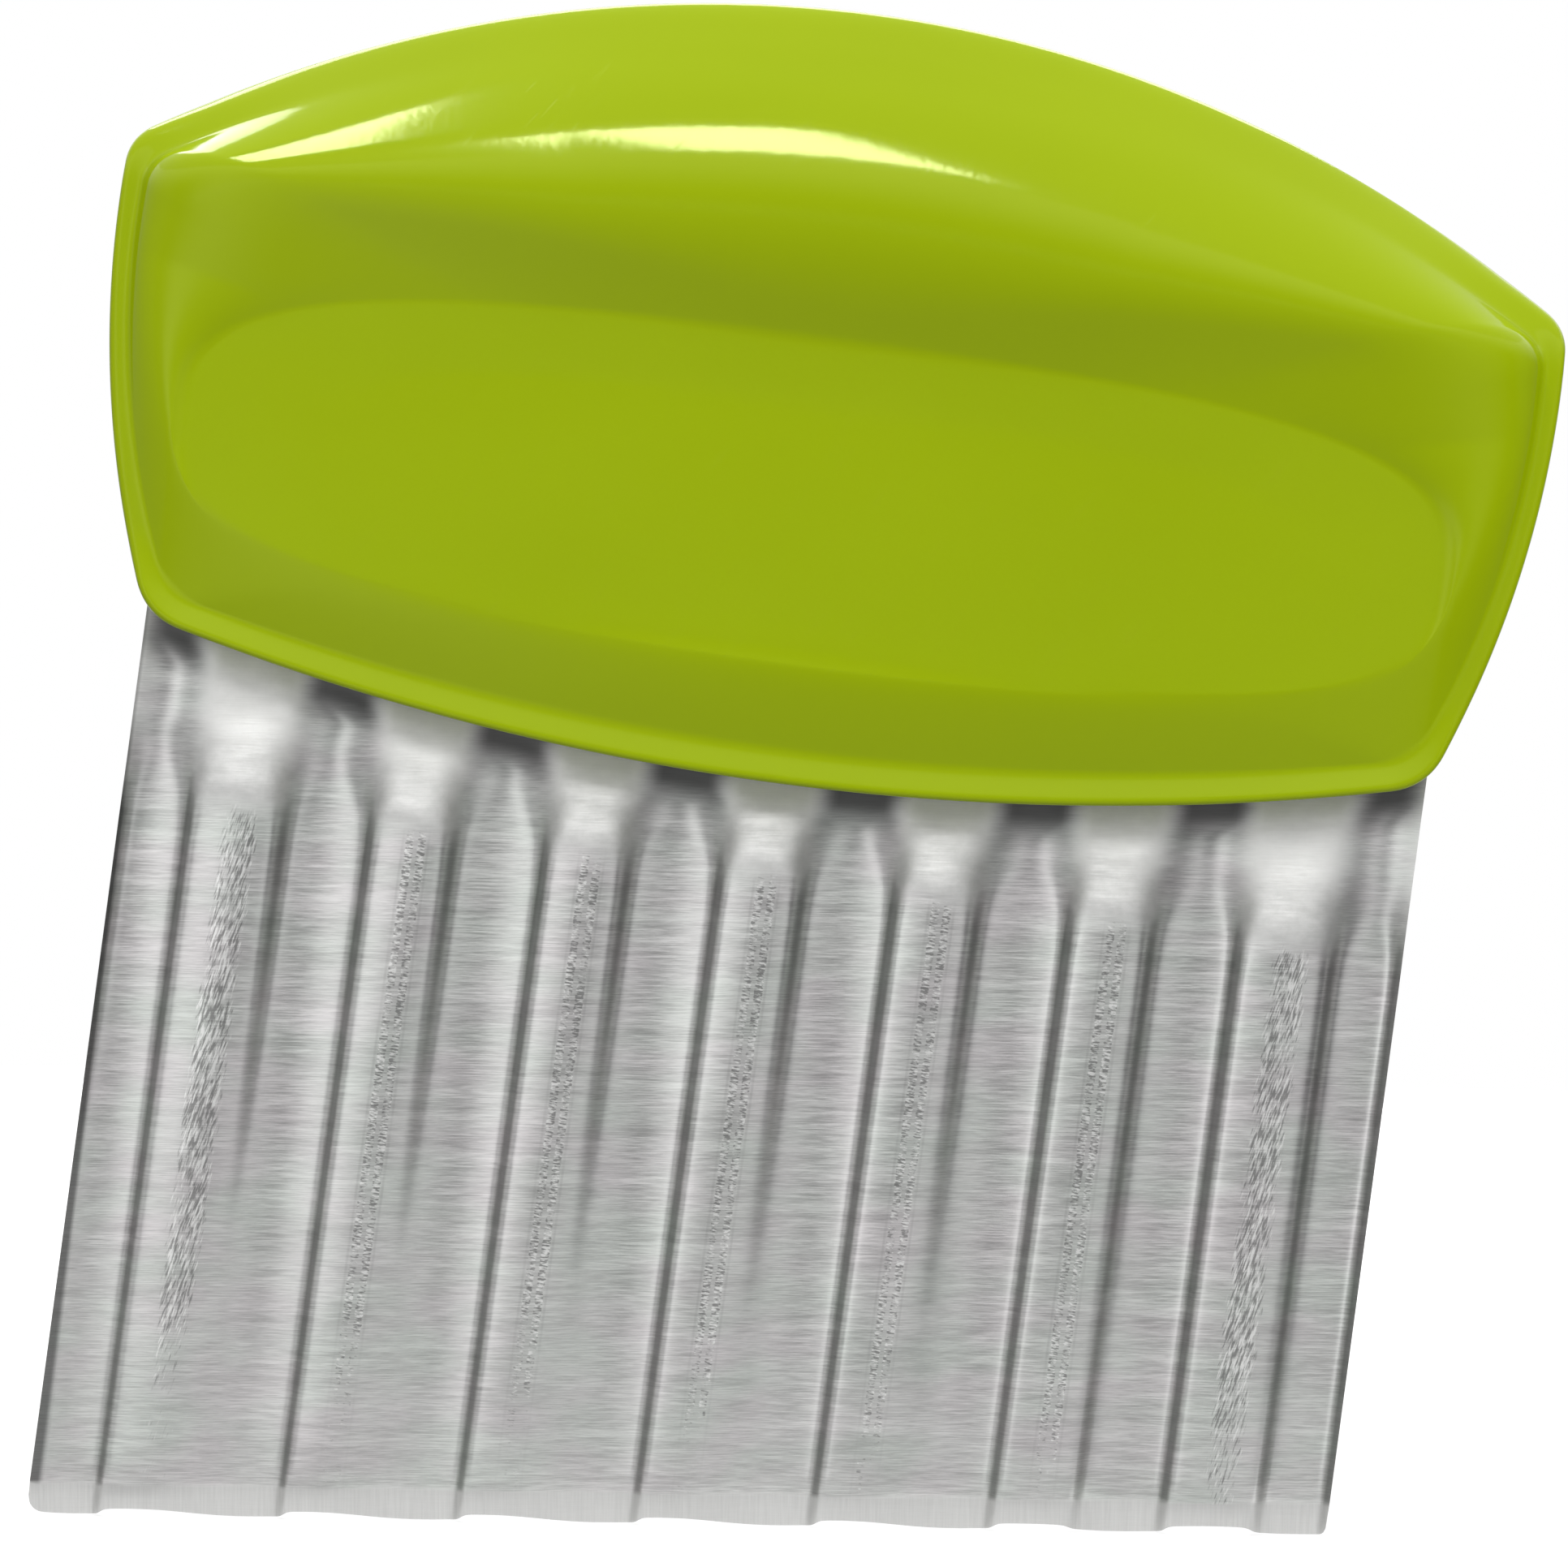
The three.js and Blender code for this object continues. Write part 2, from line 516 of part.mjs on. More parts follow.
// Closed surface through loops round the sheet, with a strip over both ends
function sheetLoft(loops) {
  const count = loops[0].length;
  const end = (loops.length - 1) * count;
  const triangles = [];
  for (let j = 0; j < count; j += 1) {
    const next = (j + 1) % count;
    for (let high = 0; high < end; high += count) {
      const low = high + count;
      triangles.push([high + j, low + j, low + next], [high + j, low + next, high + next]);
    }
  }
  for (let j = 0; j + 1 < count / 2; j += 1) {
    const near = [j, j + 1];
    const far = [count - 1 - j, count - 2 - j];
    triangles.push([near[0], near[1], far[1]], [near[0], far[1], far[0]]);
    triangles.push([end + near[0], end + far[1], end + near[1]], [end + near[0], end + far[0], end + far[1]]);
  }
  return new THREE.BufferGeometry().setFromPoints(loops.flat()).setIndex(triangles.flat());
}

function blade() {
  const loops = [
    sheetLoop(() => TANG_TOP_HEIGHT, tangHalf / bladeHalf),
    sheetLoop(() => TANG_FOOT_HEIGHT, tangHalf / bladeHalf),
    sheetLoop(() => SHOULDER_HEIGHT),
  ];
  const runOutTop = (x) => lowerArc(x) + VALLEY_START;
  const bevelTop = (x) => edgeLine(x) + BEVEL_HEIGHT;
  for (let k = 0; k < RUN_OUT_STEPS; k += 1) {
    loops.push(sheetLoop((x) => lerp(runOutTop(x), -RIDGE_END, k / RUN_OUT_STEPS)));
  }
  for (let k = 0; k <= BODY_STEPS; k += 1) {
    loops.push(sheetLoop((x) => lerp(-RIDGE_END, bevelTop(x), k / BODY_STEPS)));
  }
  const edge = (x) => edgeLine(x) + EDGE_WAVE / 2 * wave(x, edgeLine(x), 0) + cornerLift(x);
  loops.push(sheetLoop(edge, 1, SHEET - EDGE_LAND));
  let body = solid(sheetLoft(loops));
  for (const x of postPlaces) {
    body = body.subtract(peg(1, x, POST_DIAMETER + 2 * CLEARANCE, -SHEET, SHEET));
  }
  return geometryOf(body);
}

const plastic = { color: 0x9ab600, roughness: 0.22, metalness: 0 };
const steel = { color: 0xb9bab8, roughness: 0.35, metalness: 1 };

function piece(name, geometry, finish) {
  const mesh = new THREE.Mesh(geometry, new THREE.MeshStandardMaterial(finish));
  mesh.name = name;
  return mesh;
}

const pieces = new THREE.Group();
pieces.add(
  piece('blade', blade(), steel),
  piece('front_shell', frontShell(), plastic),
  piece('rear_shell', rearShell(), plastic),
);

// The cutting edge is turned level, and the middle of its foot is put at the origin
pieces.rotation.y = THREE.MathUtils.degToRad(EDGE_SLANT);
const box = new THREE.Box3().setFromObject(pieces, true);
const middle = box.getCenter(new THREE.Vector3());
pieces.position.set(-middle.x, -middle.y, -box.min.z);

const crinkleCutter = new THREE.Group();
crinkleCutter.name = 'crinkle_cutter';
crinkleCutter.add(pieces);

export default crinkleCutter;
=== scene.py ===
"""Crinkle cutter: the two moulded halves of its handle, its corrugated blade, and a small studio.

Lengths are metres. The pieces are worked out in the handle's own axes, in which the handle stands upright
with the lowest point of its lower arc at the origin, x runs along the handle, z up and depth away from the
joint between the two halves. The function placed turns them by the slant of the cutting edge and moves them
into the part's frame, where the cutting edge is level.
"""

import json
import math

import bpy
import numpy as np
from bpy.props import FloatProperty, FloatVectorProperty, IntProperty, PointerProperty
from bpy.types import Operator, Panel, PropertyGroup
from mathutils import Matrix, Quaternion, Vector


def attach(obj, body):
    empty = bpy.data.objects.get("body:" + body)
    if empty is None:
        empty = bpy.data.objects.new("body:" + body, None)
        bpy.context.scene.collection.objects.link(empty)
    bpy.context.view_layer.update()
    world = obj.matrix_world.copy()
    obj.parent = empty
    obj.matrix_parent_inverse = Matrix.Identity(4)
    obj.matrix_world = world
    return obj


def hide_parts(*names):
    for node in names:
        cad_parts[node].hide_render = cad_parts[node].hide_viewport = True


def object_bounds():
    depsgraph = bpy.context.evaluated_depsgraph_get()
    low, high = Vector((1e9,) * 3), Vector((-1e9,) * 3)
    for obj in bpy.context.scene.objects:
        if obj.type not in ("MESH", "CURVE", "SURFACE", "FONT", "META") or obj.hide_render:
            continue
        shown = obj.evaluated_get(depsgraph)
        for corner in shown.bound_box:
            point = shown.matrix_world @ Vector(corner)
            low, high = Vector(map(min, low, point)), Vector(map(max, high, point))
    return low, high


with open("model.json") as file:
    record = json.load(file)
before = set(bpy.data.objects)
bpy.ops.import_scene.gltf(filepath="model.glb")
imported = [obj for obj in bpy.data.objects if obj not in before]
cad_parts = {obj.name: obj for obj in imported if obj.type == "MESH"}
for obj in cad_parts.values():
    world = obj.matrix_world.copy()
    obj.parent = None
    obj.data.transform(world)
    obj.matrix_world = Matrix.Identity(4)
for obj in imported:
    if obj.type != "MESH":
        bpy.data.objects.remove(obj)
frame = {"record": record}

bl_info = {
    "name": "Crinkle cutter",
    "version": (1, 0, 0),
    "blender": (4, 5, 0),
    "location": "View3D > Sidebar > Crinkle cutter",
    "description": "Builds a crinkle cutter with a corrugated blade and a moulded handle",
    "category": "Add Mesh",
}

CAD_BOX = [list(corner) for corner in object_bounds()]
MM = 0.001


def length(name, millimetres, description):
    """A length that a user may change, with its default given in millimetres."""
    return FloatProperty(
        name=name, description=description, default=millimetres * MM, unit="LENGTH", precision=5
    )


def share(name, default, description):
    """A share from 0 to 1 that a user may change."""
    return FloatProperty(name=name, description=description, default=default, min=0, max=1, subtype="FACTOR")


def amount(name, default, description):
    """A plain number from 0 up that a user may change."""
    return FloatProperty(name=name, description=description, default=default, min=0)


def angle(name, degrees, description):
    """An angle that a user may change, with its default given in degrees."""
    return FloatProperty(name=name, description=description, default=math.radians(degrees), unit="ROTATION")


def colour(name, default, description):
    """A linear colour that a user may change."""
    return FloatVectorProperty(
        name=name, description=description, default=default, min=0, max=1, size=3, subtype="COLOR"
    )


class HandleSettings(PropertyGroup):
    """Sizes and colour of the handle; depths are measured from the joint between its halves."""

    height: length("Height", 57.8, "Lowest point of the lower arc to the top of the upper arc")
    top_half: length("Top half width", 53.8, "Middle of the handle to a top corner")
    bottom_half: length("Bottom half width", 47.9, "Middle of the handle to a bottom corner")
    top_rise: length("Top rise", 16.5, "Top corners up to the top of the upper arc")
    bottom_rise: length("Bottom rise", 6.1, "Lowest point up to the bottom corners")
    side_bow: length("Side bow", 2.1, "How far a side bulges past its straight chord")
    top_rounding: length("Top corner rounding", 1.8, "Length that a rounded top corner takes up")
    bottom_rounding: length("Bottom corner rounding", 2.6, "Length that a rounded bottom corner takes up")
    flange_depth: length("Flange depth", 3.4, "Inner edge of the flange that runs round the handle")
    rim_top: length("Rim depth above", 0.8, "Outer edge of the flange along the upper arc")
    rim_bottom: length("Rim depth below", 3.9, "Outer edge of the flange along the lower arc")
    rim_rounding_top: length("Rim rounding above", 2.0, "Rounding of the outer edge along the upper arc")
    rim_rounding_bottom: length("Rim rounding below", 0.7, "Rounding of the outer edge at the ends and below")
    flange_fillet: length("Flange fillet", 0.5, "Fillet between the flange and the slopes")
    flange_top: length("Flange above", 3.4, "Width of the flange above")
    flange_side: length("Flange at the ends", 1.5, "Width of the flange at the ends")
    flange_bottom: length("Flange below", 2.4, "Width of the flange below")
    crest_depth: length("Crest depth", 10.8, "Depth of the crest before it is rounded")
    lip_depth: length("Lip depth", 5.4, "Depth of the lip above the blade before it is rounded")
    barrel_radius: length("Barrel radius", 800, "The face curves back towards both ends")
    crest_inset: length("Crest inset", 13.8, "Top of the upper arc down to the crest line")
    crest_corner_inset: length("Crest corner inset", 3.4, "Top corners in to the crest line")
    crest_corner_drop: length("Crest corner drop", 0.6, "Top corners down to the crest line")
    lip_inset: length("Lip inset", 8.0, "Lowest point up to the lip's line")
    lip_corner_inset: length("Lip corner inset", 3.9, "Bottom corners in to the lip's line")
    lip_corner_raise: length("Lip corner raise", 4.0, "Bottom corners up to the lip's line")
    crest_rounding: length("Crest rounding", 10.0, "Rounding across the crest and the lip")
    crest_corner_rounding: length("Crest line corners", 5.0, "Rounding of the crest line's corners")
    lip_corner_rounding: length("Lip line corners", 9.0, "Rounding of the lip line's corners")
    dish_side: length("Dish side margin", 5.9, "Bowed side to the end of the gripping dish")
    dish_top: length("Dish top margin", 24.8, "Top of the handle down to the dish")
    dish_bottom: length("Dish bottom margin", 9.6, "Lowest point up to the dish")
    dish_floor: length("Dish floor depth", 5.2, "Depth of the dish's flat floor")
    dish_roll: share("Dish roll", 0.93, "Share of the way from the face to the floor at the dish's edge")
    dish_edge: length("Dish edge rounding", 0.6, "Rounding across the dish's edge")
    floor_rounding: length("Floor rounding", 1.2, "Rounding round the dish's floor")
    dish_squareness: amount("Dish squareness", 3.1, "Exponent of the oval, 2 for an ellipse")
    floor_side: length("Floor side margin", 10.5, "Dish's edge to its floor at the ends")
    floor_top: length("Floor top margin", 4.7, "Dish's edge to its floor above")
    floor_bottom: length("Floor bottom margin", 2.3, "Dish's edge to its floor below")
    wall: length("Wall", 3.2, "Wall at the joint")
    face_wall: length("Face wall", 2.8, "Wall of the face")
    flange_wall: length("Flange wall", 1.8, "Wall under the flange")
    joint_gap: length("Joint gap", 0.3, "Gap between the two halves")
    joint_edge: length("Joint edge rounding", 0.2, "Rounding of the edges along the joint")
    slot_half: length("Slot half width", 0.7, "Half the width of the blade's slot")
    plastic: colour("Plastic", (0.320, 0.430, 0.0), "Lime green of the moulded plastic")


class BladeSettings(PropertyGroup):
    """Sizes and colour of the blade; heights are measured from the lowest point of the handle."""

    width: length("Width", 96.2, "Width of the sheet")
    drop: length("Drop", 55.5, "Lowest point of the handle to the cutting edge, at the middle")
    slant: angle("Edge slant", 6.7, "Angle between the cutting edge and the handle")
    sheet: length("Sheet", 0.8, "Thickness of the steel")
    ridges: IntProperty(name="Ridges", description="An odd number of ridges", default=7, min=1)
    pitch: length("Pitch", 13.13, "Between the middles of two ridges")
    ridge_width: length("Ridge width", 5.65, "Between the middles of a ridge's two walls")
    outer_ridge_width: length("Outer ridge width", 6.5, "The same for the two outer ridges")
    wall_run: length("Left wall run", 0.35, "Half the sideways run of the wall on the left of a ridge")
    right_run: length("Right wall run", 0.5, "The same on the right of a ridge")
    soft_run: length("Soft wall run", 2.7, "The same for both at the upper end of the ridges")
    soft_from: length("Soft walls from", 0.5, "The walls harden from here, below the handle's lowest point")
    soft_to: length("Soft walls to", 9, "The walls are hard from here down")
    faded_run: length("Faded wall run", 3.5, "Run of a right wall that has faded out")
    faded_share: share("Faded share", 0.75, "Share of the way down at which right walls have faded out")
    fading_reach: length("Fading reach", 27, "Right walls fade out up to here, from the middle")
    bend: length("Bend allowance", 0.3, "The ridges are this much wider in front and narrower behind")
    end_wall: length("End wall", 0.15, "The sides are cut this far before the middle of the next wall")
    crown: share("Crown", 0.3, "Share of the wave that is a plain rounded wave")
    depth_above: length("Depth above", 3.0, "Valley to ridge, below the run-outs")
    depth_at_edge: length("Depth at the edge", 2.3, "Valley to ridge, at the cutting edge")
    ridge_start: length("Ridge start", 0.2, "The ridges begin this far below the lowest point of the handle")
    ridge_follow: share("Ridge follow", 0.3, "Share of the lower arc's rise that their upper ends follow")
    ridge_end: length("Ridge end", 6.6, "The ridges are full this far below the lowest point of the handle")
    run_out_ease: share("Run-out ease", 0.25, "Share of a run-out that is rounded at either end")
    valley_start: length("Valley start", 0.5, "The valleys begin this far above the handle's lower arc")
    valley_end: length("Valley end", 2.6, "The valleys are full this far below the handle")
    bevel: length("Ground band", 2.3, "Height of the ground band at the cutting edge")
    land: length("Edge land", 0.15, "Thickness left at the cutting edge")
    edge_wave: length("Edge wave", 0.7, "The edge is ground higher on the ridges than in the valleys")
    left_corner: length("Left corner radius", 1.2, "Rounding of the lower left corner")
    right_corner: length("Right corner radius", 0.4, "Rounding of the lower right corner")
    shoulder: length("Shoulder height", 8.2, "The sheet keeps its full width up to here")
    tang_foot: length("Tang foot height", 12, "The tang is at its own width from here")
    tang_top: length("Tang top height", 31, "Top of the tang")
    tang_inset: length("Tang inset", 8, "How much narrower the tang is on each side")
    steel: colour("Steel", (0.66, 0.66, 0.65), "Brushed stainless steel")


class StageSettings(PropertyGroup):
    """Camera and light."""

    distance: length("Camera distance", 600, "Camera to the middle of the blade's sheet")
    view_width: length("View width", 116.9, "Width of the view at the middle of the blade's sheet")
    aim_x: length("Aim along the handle", 0.6, "Where the camera aims, from the handle's lowest point")
    aim_z: length("Aim height", 0.7, "How far above the handle's lowest point the camera aims")
    roll: angle("Camera roll", 0.95, "Turn of the camera about its view")
    floor_reach: length("Floor reach", 900, "Radius of the floor")
    ambient: amount("Ambient", 0.335, "Even light from all round")
    brightness: amount("Soft boxes", 31.0, "Radiance of the two front soft boxes")
    rear_light: amount("Rear light", 7.0, "Radiance of the soft box above and behind")
    fill_light: amount("Fill light", 5.0, "Radiance of the fill lights in front, behind and at the right")
    bowl_reach: length("Card reach", 1100, "How far the grey cards reach from the cutter")
    bowl_rise: length("Card rise", 800, "Height of the grey cards' upper edge")


SETTINGS = {"cutter_handle": HandleSettings, "cutter_blade": BladeSettings, "cutter_stage": StageSettings}


def settings():
    """The three groups of settings, kept with the scene."""
    return [getattr(bpy.context.scene, name) for name in SETTINGS]


# Shapes in the plane of the handle


def smooth(low, high, value):
    """Smooth step from 0 at low to 1 at high: 3 t^2 - 2 t^3."""
    t = np.clip((value - low) / (high - low), 0, 1)
    return t * t * (3 - 2 * t)


def arc(start, end, rise, along):
    """Circular arc from start to end, bulging by rise to the left of the way.

    The chord's middle, plus radius times the sine of an angle along the chord and its cosine across it, where
    the angle runs evenly from minus to plus half the arc's angle.
    """
    chord = np.linalg.norm(end - start)
    forward = (end - start) / chord
    left = np.array([-forward[1], forward[0]])
    radius = (chord**2 / 4 + rise**2) / (2 * rise)
    sweep = np.arcsin(chord / 2 / radius) * (2 * along - 1)
    sideways = radius * np.cos(sweep) - radius + rise
    return start + np.outer(chord / 2 + radius * np.sin(sweep), forward) + np.outer(sideways, left)


def bend(start, corner, end, along):
    """Quadratic curve: (1 - t)^2 start + 2 t (1 - t) corner + t^2 end."""
    return (1 - along) ** 2 * start + 2 * along * (1 - along) * corner + along**2 * end


ARC_STEPS = (130, 44, 110, 44)  # steps of the top, right, bottom and left arcs
CORNER_STEPS = 14


def outline(top, bottom, bow):
    """Closed line of four arcs with rounded corners, clockwise from the top left.

    top and bottom are (half width, height of the corners, rise of the arc, rounding).
    """
    corners = np.array([[-top[0], top[1]], [top[0], top[1]], [bottom[0], bottom[1]], [-bottom[0], bottom[1]]])
    roundings = (top[3], top[3], bottom[3], bottom[3])
    rises = (top[2], bow, bottom[2], bow)
    arcs = []
    for i in range(4):
        start, end = corners[i], corners[(i + 1) % 4]
        chord = np.linalg.norm(end - start)
        along = np.linspace(roundings[i] / chord, 1 - roundings[(i + 1) % 4] / chord, ARC_STEPS[i] + 1)
        arcs.append(arc(start, end, rises[i], along))
    line = []
    for i in range(4):
        along = np.linspace(0, 1, CORNER_STEPS + 1)[1:-1, None]
        line += [arcs[i], bend(arcs[i][-1], corners[(i + 1) % 4], arcs[(i + 1) % 4][0], along)]
    return np.concatenate(line)


def drawn_in(line, side, top=None, bottom=None):
    """The line squeezed towards its middle, by its own amount at the ends, above and below."""
    top = side if top is None else top
    bottom = side if bottom is None else bottom
    reach = line[:, 0].max()
    low, high = line[:, 1].min(), line[:, 1].max()
    stretch = (high - low - top - bottom) / (high - low)
    return np.stack([line[:, 0] * (1 - side / reach), low + bottom + (line[:, 1] - low) * stretch], 1)


def oval(guide, half, low, high, squareness):
    """Superellipse |x / half|^n + |z / rise|^n = 1, with a point in the direction of each guide point."""
    middle = np.array([0, (low + high) / 2])
    way = guide - middle
    way /= np.linalg.norm(way, axis=1)[:, None]
    reach = np.abs(way[:, 0] / half) ** squareness + np.abs(way[:, 1] * 2 / (high - low)) ** squareness
    return middle + way * (reach ** (-1 / squareness))[:, None]


def ring(line, depth):
    """The points of a line in space, each at its depth from the joint: x, depth, z."""
    return np.stack([line[:, 0], np.broadcast_to(depth, len(line)), line[:, 1]], 1)


SHARED_WAY = 0.96  # share of the way between two bends that their roundings can take up
LEAST_ROOM = 0.5  # one bend's part of that way, at the least and at the most
MOST_ROOM = 0.9
FILL_RINGS = 3  # rings on the straight stretch between two roundings


def rounded_section(bends):
    """Rings of a section that is carried round the handle.

    Each bend is a ring, the length over which the section is rounded there, and the number of steps of the
    rounding. It follows a quadratic curve from one side of the ring to the other. Two neighbours share most
    of the way between them, and the straight stretch that is left is filled with a few rings.
    """
    groups = []
    for i, (line, rounding, steps) in enumerate(bends):
        if np.all(rounding == 0):
            groups.append([line])
            continue
        sides = []
        for other, other_rounding, _ in (bends[i - 1], bends[i + 1]):
            gap = np.linalg.norm(other - line, axis=1)[:, None]
            room = np.clip(1 - other_rounding / gap, LEAST_ROOM, MOST_ROOM)
            sides.append(line + (other - line) * SHARED_WAY * np.minimum(room, rounding / gap))
        groups.append([bend(sides[0], line, sides[1], t) for t in np.linspace(0, 1, steps + 1)])
    rings = list(groups[0])
    for group in groups[1:]:
        start, end = rings[-1], group[0]
        rings += [start + (end - start) * k / (FILL_RINGS + 1) for k in range(1, FILL_RINGS + 1)]
        rings += group
    return rings


# Meshes


def placed(points):
    """Points in the handle's axes turned by the slant of the edge and moved to the part's frame.

    x' = x cos + z sin, z' = z cos - x sin, and then the shift that takes the middle of the dish's floor
    to the part's front_grip_flat mount.
    """
    handle, blade, _ = settings()
    cos, sin = math.cos(blade.slant), math.sin(blade.slant)
    low = handle.dish_bottom + handle.floor_bottom
    high = handle.height - handle.dish_top - handle.floor_top
    mount = next(m for m in frame["record"]["mounts"] if m["name"] == "front_grip_flat")["pos_m"]
    middle = (low + high) / 2
    shift = np.array([mount[0] - middle * sin, 0, mount[2] - middle * cos])
    x, y, z = points[..., 0], points[..., 1], points[..., 2]
    return np.stack([x * cos + z * sin, y, z * cos - x * sin], -1) + shift


def grid_faces(rows, columns, flipped):
    """Four-sided faces between neighbouring rows of points, closed round the columns."""
    at = np.arange(rows * columns).reshape(rows, columns)
    after = np.roll(at, -1, axis=1)
    faces = np.stack([at[:-1], after[:-1], after[1:], at[1:]], -1).reshape(-1, 4)
    return faces[:, ::-1] if flipped else faces


def linked(name, data):
    """A new object at the origin, linked to the scene."""
    thing = bpy.data.objects.new(name, data)
    bpy.context.scene.collection.objects.link(thing)
    return thing


def mesh_object(name, points, faces, material):
    """A smooth mesh of these points and faces."""
    mesh = bpy.data.meshes.new(name)
    mesh.from_pydata(points.tolist(), [], faces)
    mesh.shade_smooth()
    mesh.materials.append(material)
    return linked(name, mesh)


def dressed(piece, node):
    """Sets the piece on the part's body and lets it stand for its CAD node."""
    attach(piece, "root")
    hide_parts(node)


def add_attribute(piece, name, values):
    """Keeps one number for each point with the mesh."""
    attribute = piece.data.attributes.new(name, "FLOAT", "POINT")
    attribute.data.foreach_set("value", np.asarray(values, np.float32).ravel())


# Handle


def handle_lines(handle):
    """The lines that the handle's section runs through: outline, crest line, dish's edge and dish's floor."""
    corner_height = handle.height - handle.top_rise
    outer = outline(
        (handle.top_half, corner_height, handle.top_rise, handle.top_rounding),
        (handle.bottom_half, handle.bottom_rise, handle.bottom_rise, handle.bottom_rounding),
        handle.side_bow,
    )
    crest_height = corner_height - handle.crest_corner_drop
    lip_height = handle.bottom_rise + handle.lip_corner_raise
    crest = outline(
        (
            handle.top_half - handle.crest_corner_inset,
            crest_height,
            handle.height - handle.crest_inset - crest_height,
            handle.crest_corner_rounding,
        ),
        (
            handle.bottom_half - handle.lip_corner_inset,
            lip_height,
            lip_height - handle.lip_inset,
            handle.lip_corner_rounding,
        ),
        handle.side_bow,
    )
    half = (handle.top_half + handle.bottom_half) / 2 + handle.side_bow - handle.dish_side
    high = handle.height - handle.dish_top
    dish = oval(crest, half, handle.dish_bottom, high, handle.dish_squareness)
    floor = oval(
        crest,
        half - handle.floor_side,
        handle.dish_bottom + handle.floor_bottom,
        high - handle.floor_top,
        handle.dish_squareness,
    )
    return outer, crest, dish, floor


HUB_SHARES = (0.02, 0.3, 0.6)  # rings on the dish's floor, as shares of its outline
FLAT_SHARE = 0.85  # the rounding round the floor stays outside this share
FLOOR_STEPS, DISH_STEPS, CREST_STEPS = 6, 8, 22  # steps of the roundings of a half's section
FLANGE_STEPS, RIM_STEPS, JOINT_STEPS = 6, 10, 4


def shell_rings(handle, blade):
    """Rings over one half of the handle: dish, face, flange, joint, and back through the cavity."""
    outer, crest, dish, floor = handle_lines(handle)

    def face_depth(line):
        """Deepest at the crest, less at the lip, and less by x^2 / (2 barrel radius) towards the ends."""
        rise = (line[:, 1] - handle.lip_inset) / (handle.height - handle.crest_inset - handle.lip_inset)
        middle = handle.lip_depth + (handle.crest_depth - handle.lip_depth) * rise
        return middle - line[:, 0] ** 2 / (2 * handle.barrel_radius)

    def dish_depth(line):
        """A share of the way from the face to the dish's floor."""
        return face_depth(line) * (1 - handle.dish_roll) + handle.dish_floor * handle.dish_roll

    def rim_rise(line):
        """Share of the way from the rim at the ends to the rim along the upper arc."""
        corner = handle.height - handle.top_rise
        return smooth(corner - handle.flange_top, (corner + handle.height) / 2, line[:, 1])

    def joint_depth(line):
        """Half the gap at the joint, and half the slot's width where the blade passes."""
        clear = handle.joint_gap
        in_slot = (line[:, 1] < blade.shoulder + clear) & (np.abs(line[:, 0]) < blade.width / 2 + clear)
        return np.where(in_slot, handle.slot_half, handle.joint_gap / 2)

    rise = rim_rise(outer)
    fall = 1 - smooth(handle.bottom_rise, 2 * handle.bottom_rise, outer[:, 1])
    rim_depth = handle.flange_depth + (handle.rim_top - handle.flange_depth) * rise
    rim_depth += (handle.rim_bottom - handle.flange_depth) * fall
    rim_rounding = handle.rim_rounding_bottom + (handle.rim_rounding_top - handle.rim_rounding_bottom) * rise
    middle = np.array([0, (floor[:, 1].min() + floor[:, 1].max()) / 2])
    hub = [ring(middle + (floor - middle) * k, handle.dish_floor) for k in HUB_SHARES]
    flange = drawn_in(outer, handle.flange_side, handle.flange_top, handle.flange_bottom)
    inner = drawn_in(outer, handle.wall)
    outside = rounded_section(
        [
            (ring(middle + (floor - middle) * FLAT_SHARE, handle.dish_floor), 0, 0),
            (ring(floor, handle.dish_floor), handle.floor_rounding, FLOOR_STEPS),
            (ring(dish, dish_depth(dish)), handle.dish_edge, DISH_STEPS),
            (ring(crest, face_depth(crest)), handle.crest_rounding, CREST_STEPS),
            (ring(flange, handle.flange_depth), handle.flange_fillet, FLANGE_STEPS),
            (ring(outer, rim_depth), rim_rounding[:, None], RIM_STEPS),
            (ring(outer, joint_depth(outer)), handle.joint_edge, JOINT_STEPS),
            (ring(inner, joint_depth(inner)), 0, 0),
        ]
    )
    inner_crest = drawn_in(crest, handle.face_wall)
    inner_dish = drawn_in(dish, handle.face_wall)
    inside = [
        ring(inner, handle.flange_depth - handle.flange_wall),
        ring(inner_crest, face_depth(inner_crest) - handle.face_wall),
        ring(inner_dish, dish_depth(inner_dish) - handle.face_wall),
        ring(floor, handle.dish_floor - handle.face_wall),
        ring(middle + (floor - middle) * HUB_SHARES[0], handle.dish_floor - handle.face_wall),
    ]
    return np.stack(hub + outside + inside)


def build_shell(name, node, facing, material):
    """One half of the handle; facing is -1 for the front and 1 for the rear."""
    handle, blade, _ = settings()
    rings = shell_rings(handle, blade)
    rings[..., 1] *= facing
    rows, columns = rings.shape[:2]
    faces = grid_faces(rows, columns, flipped=facing > 0).tolist()
    first = list(range(columns))
    last = list(range((rows - 1) * columns, rows * columns))
    faces += [first, last[::-1]] if facing > 0 else [first[::-1], last]
    piece = mesh_object(name, placed(rings).reshape(-1, 3), faces, material)
    dressed(piece, node)


# Blade


def ridge_walls(blade):
    """Places of the ridges' walls, and 1 where the sheet comes forward there or -1 where it goes back."""
    middles = (np.arange(blade.ridges) - (blade.ridges - 1) / 2) * blade.pitch
    half = np.full(blade.ridges, blade.ridge_width / 2)
    half[[0, -1]] = blade.outer_ridge_width / 2
    inner = np.stack([middles - half, middles + half], 1).ravel()
    reach = blade.width / 2 + blade.end_wall
    places = np.concatenate([[-reach], inner, [reach]])
    rising = np.where(np.arange(len(places)) % 2 == 1, 1, -1)
    return places, rising


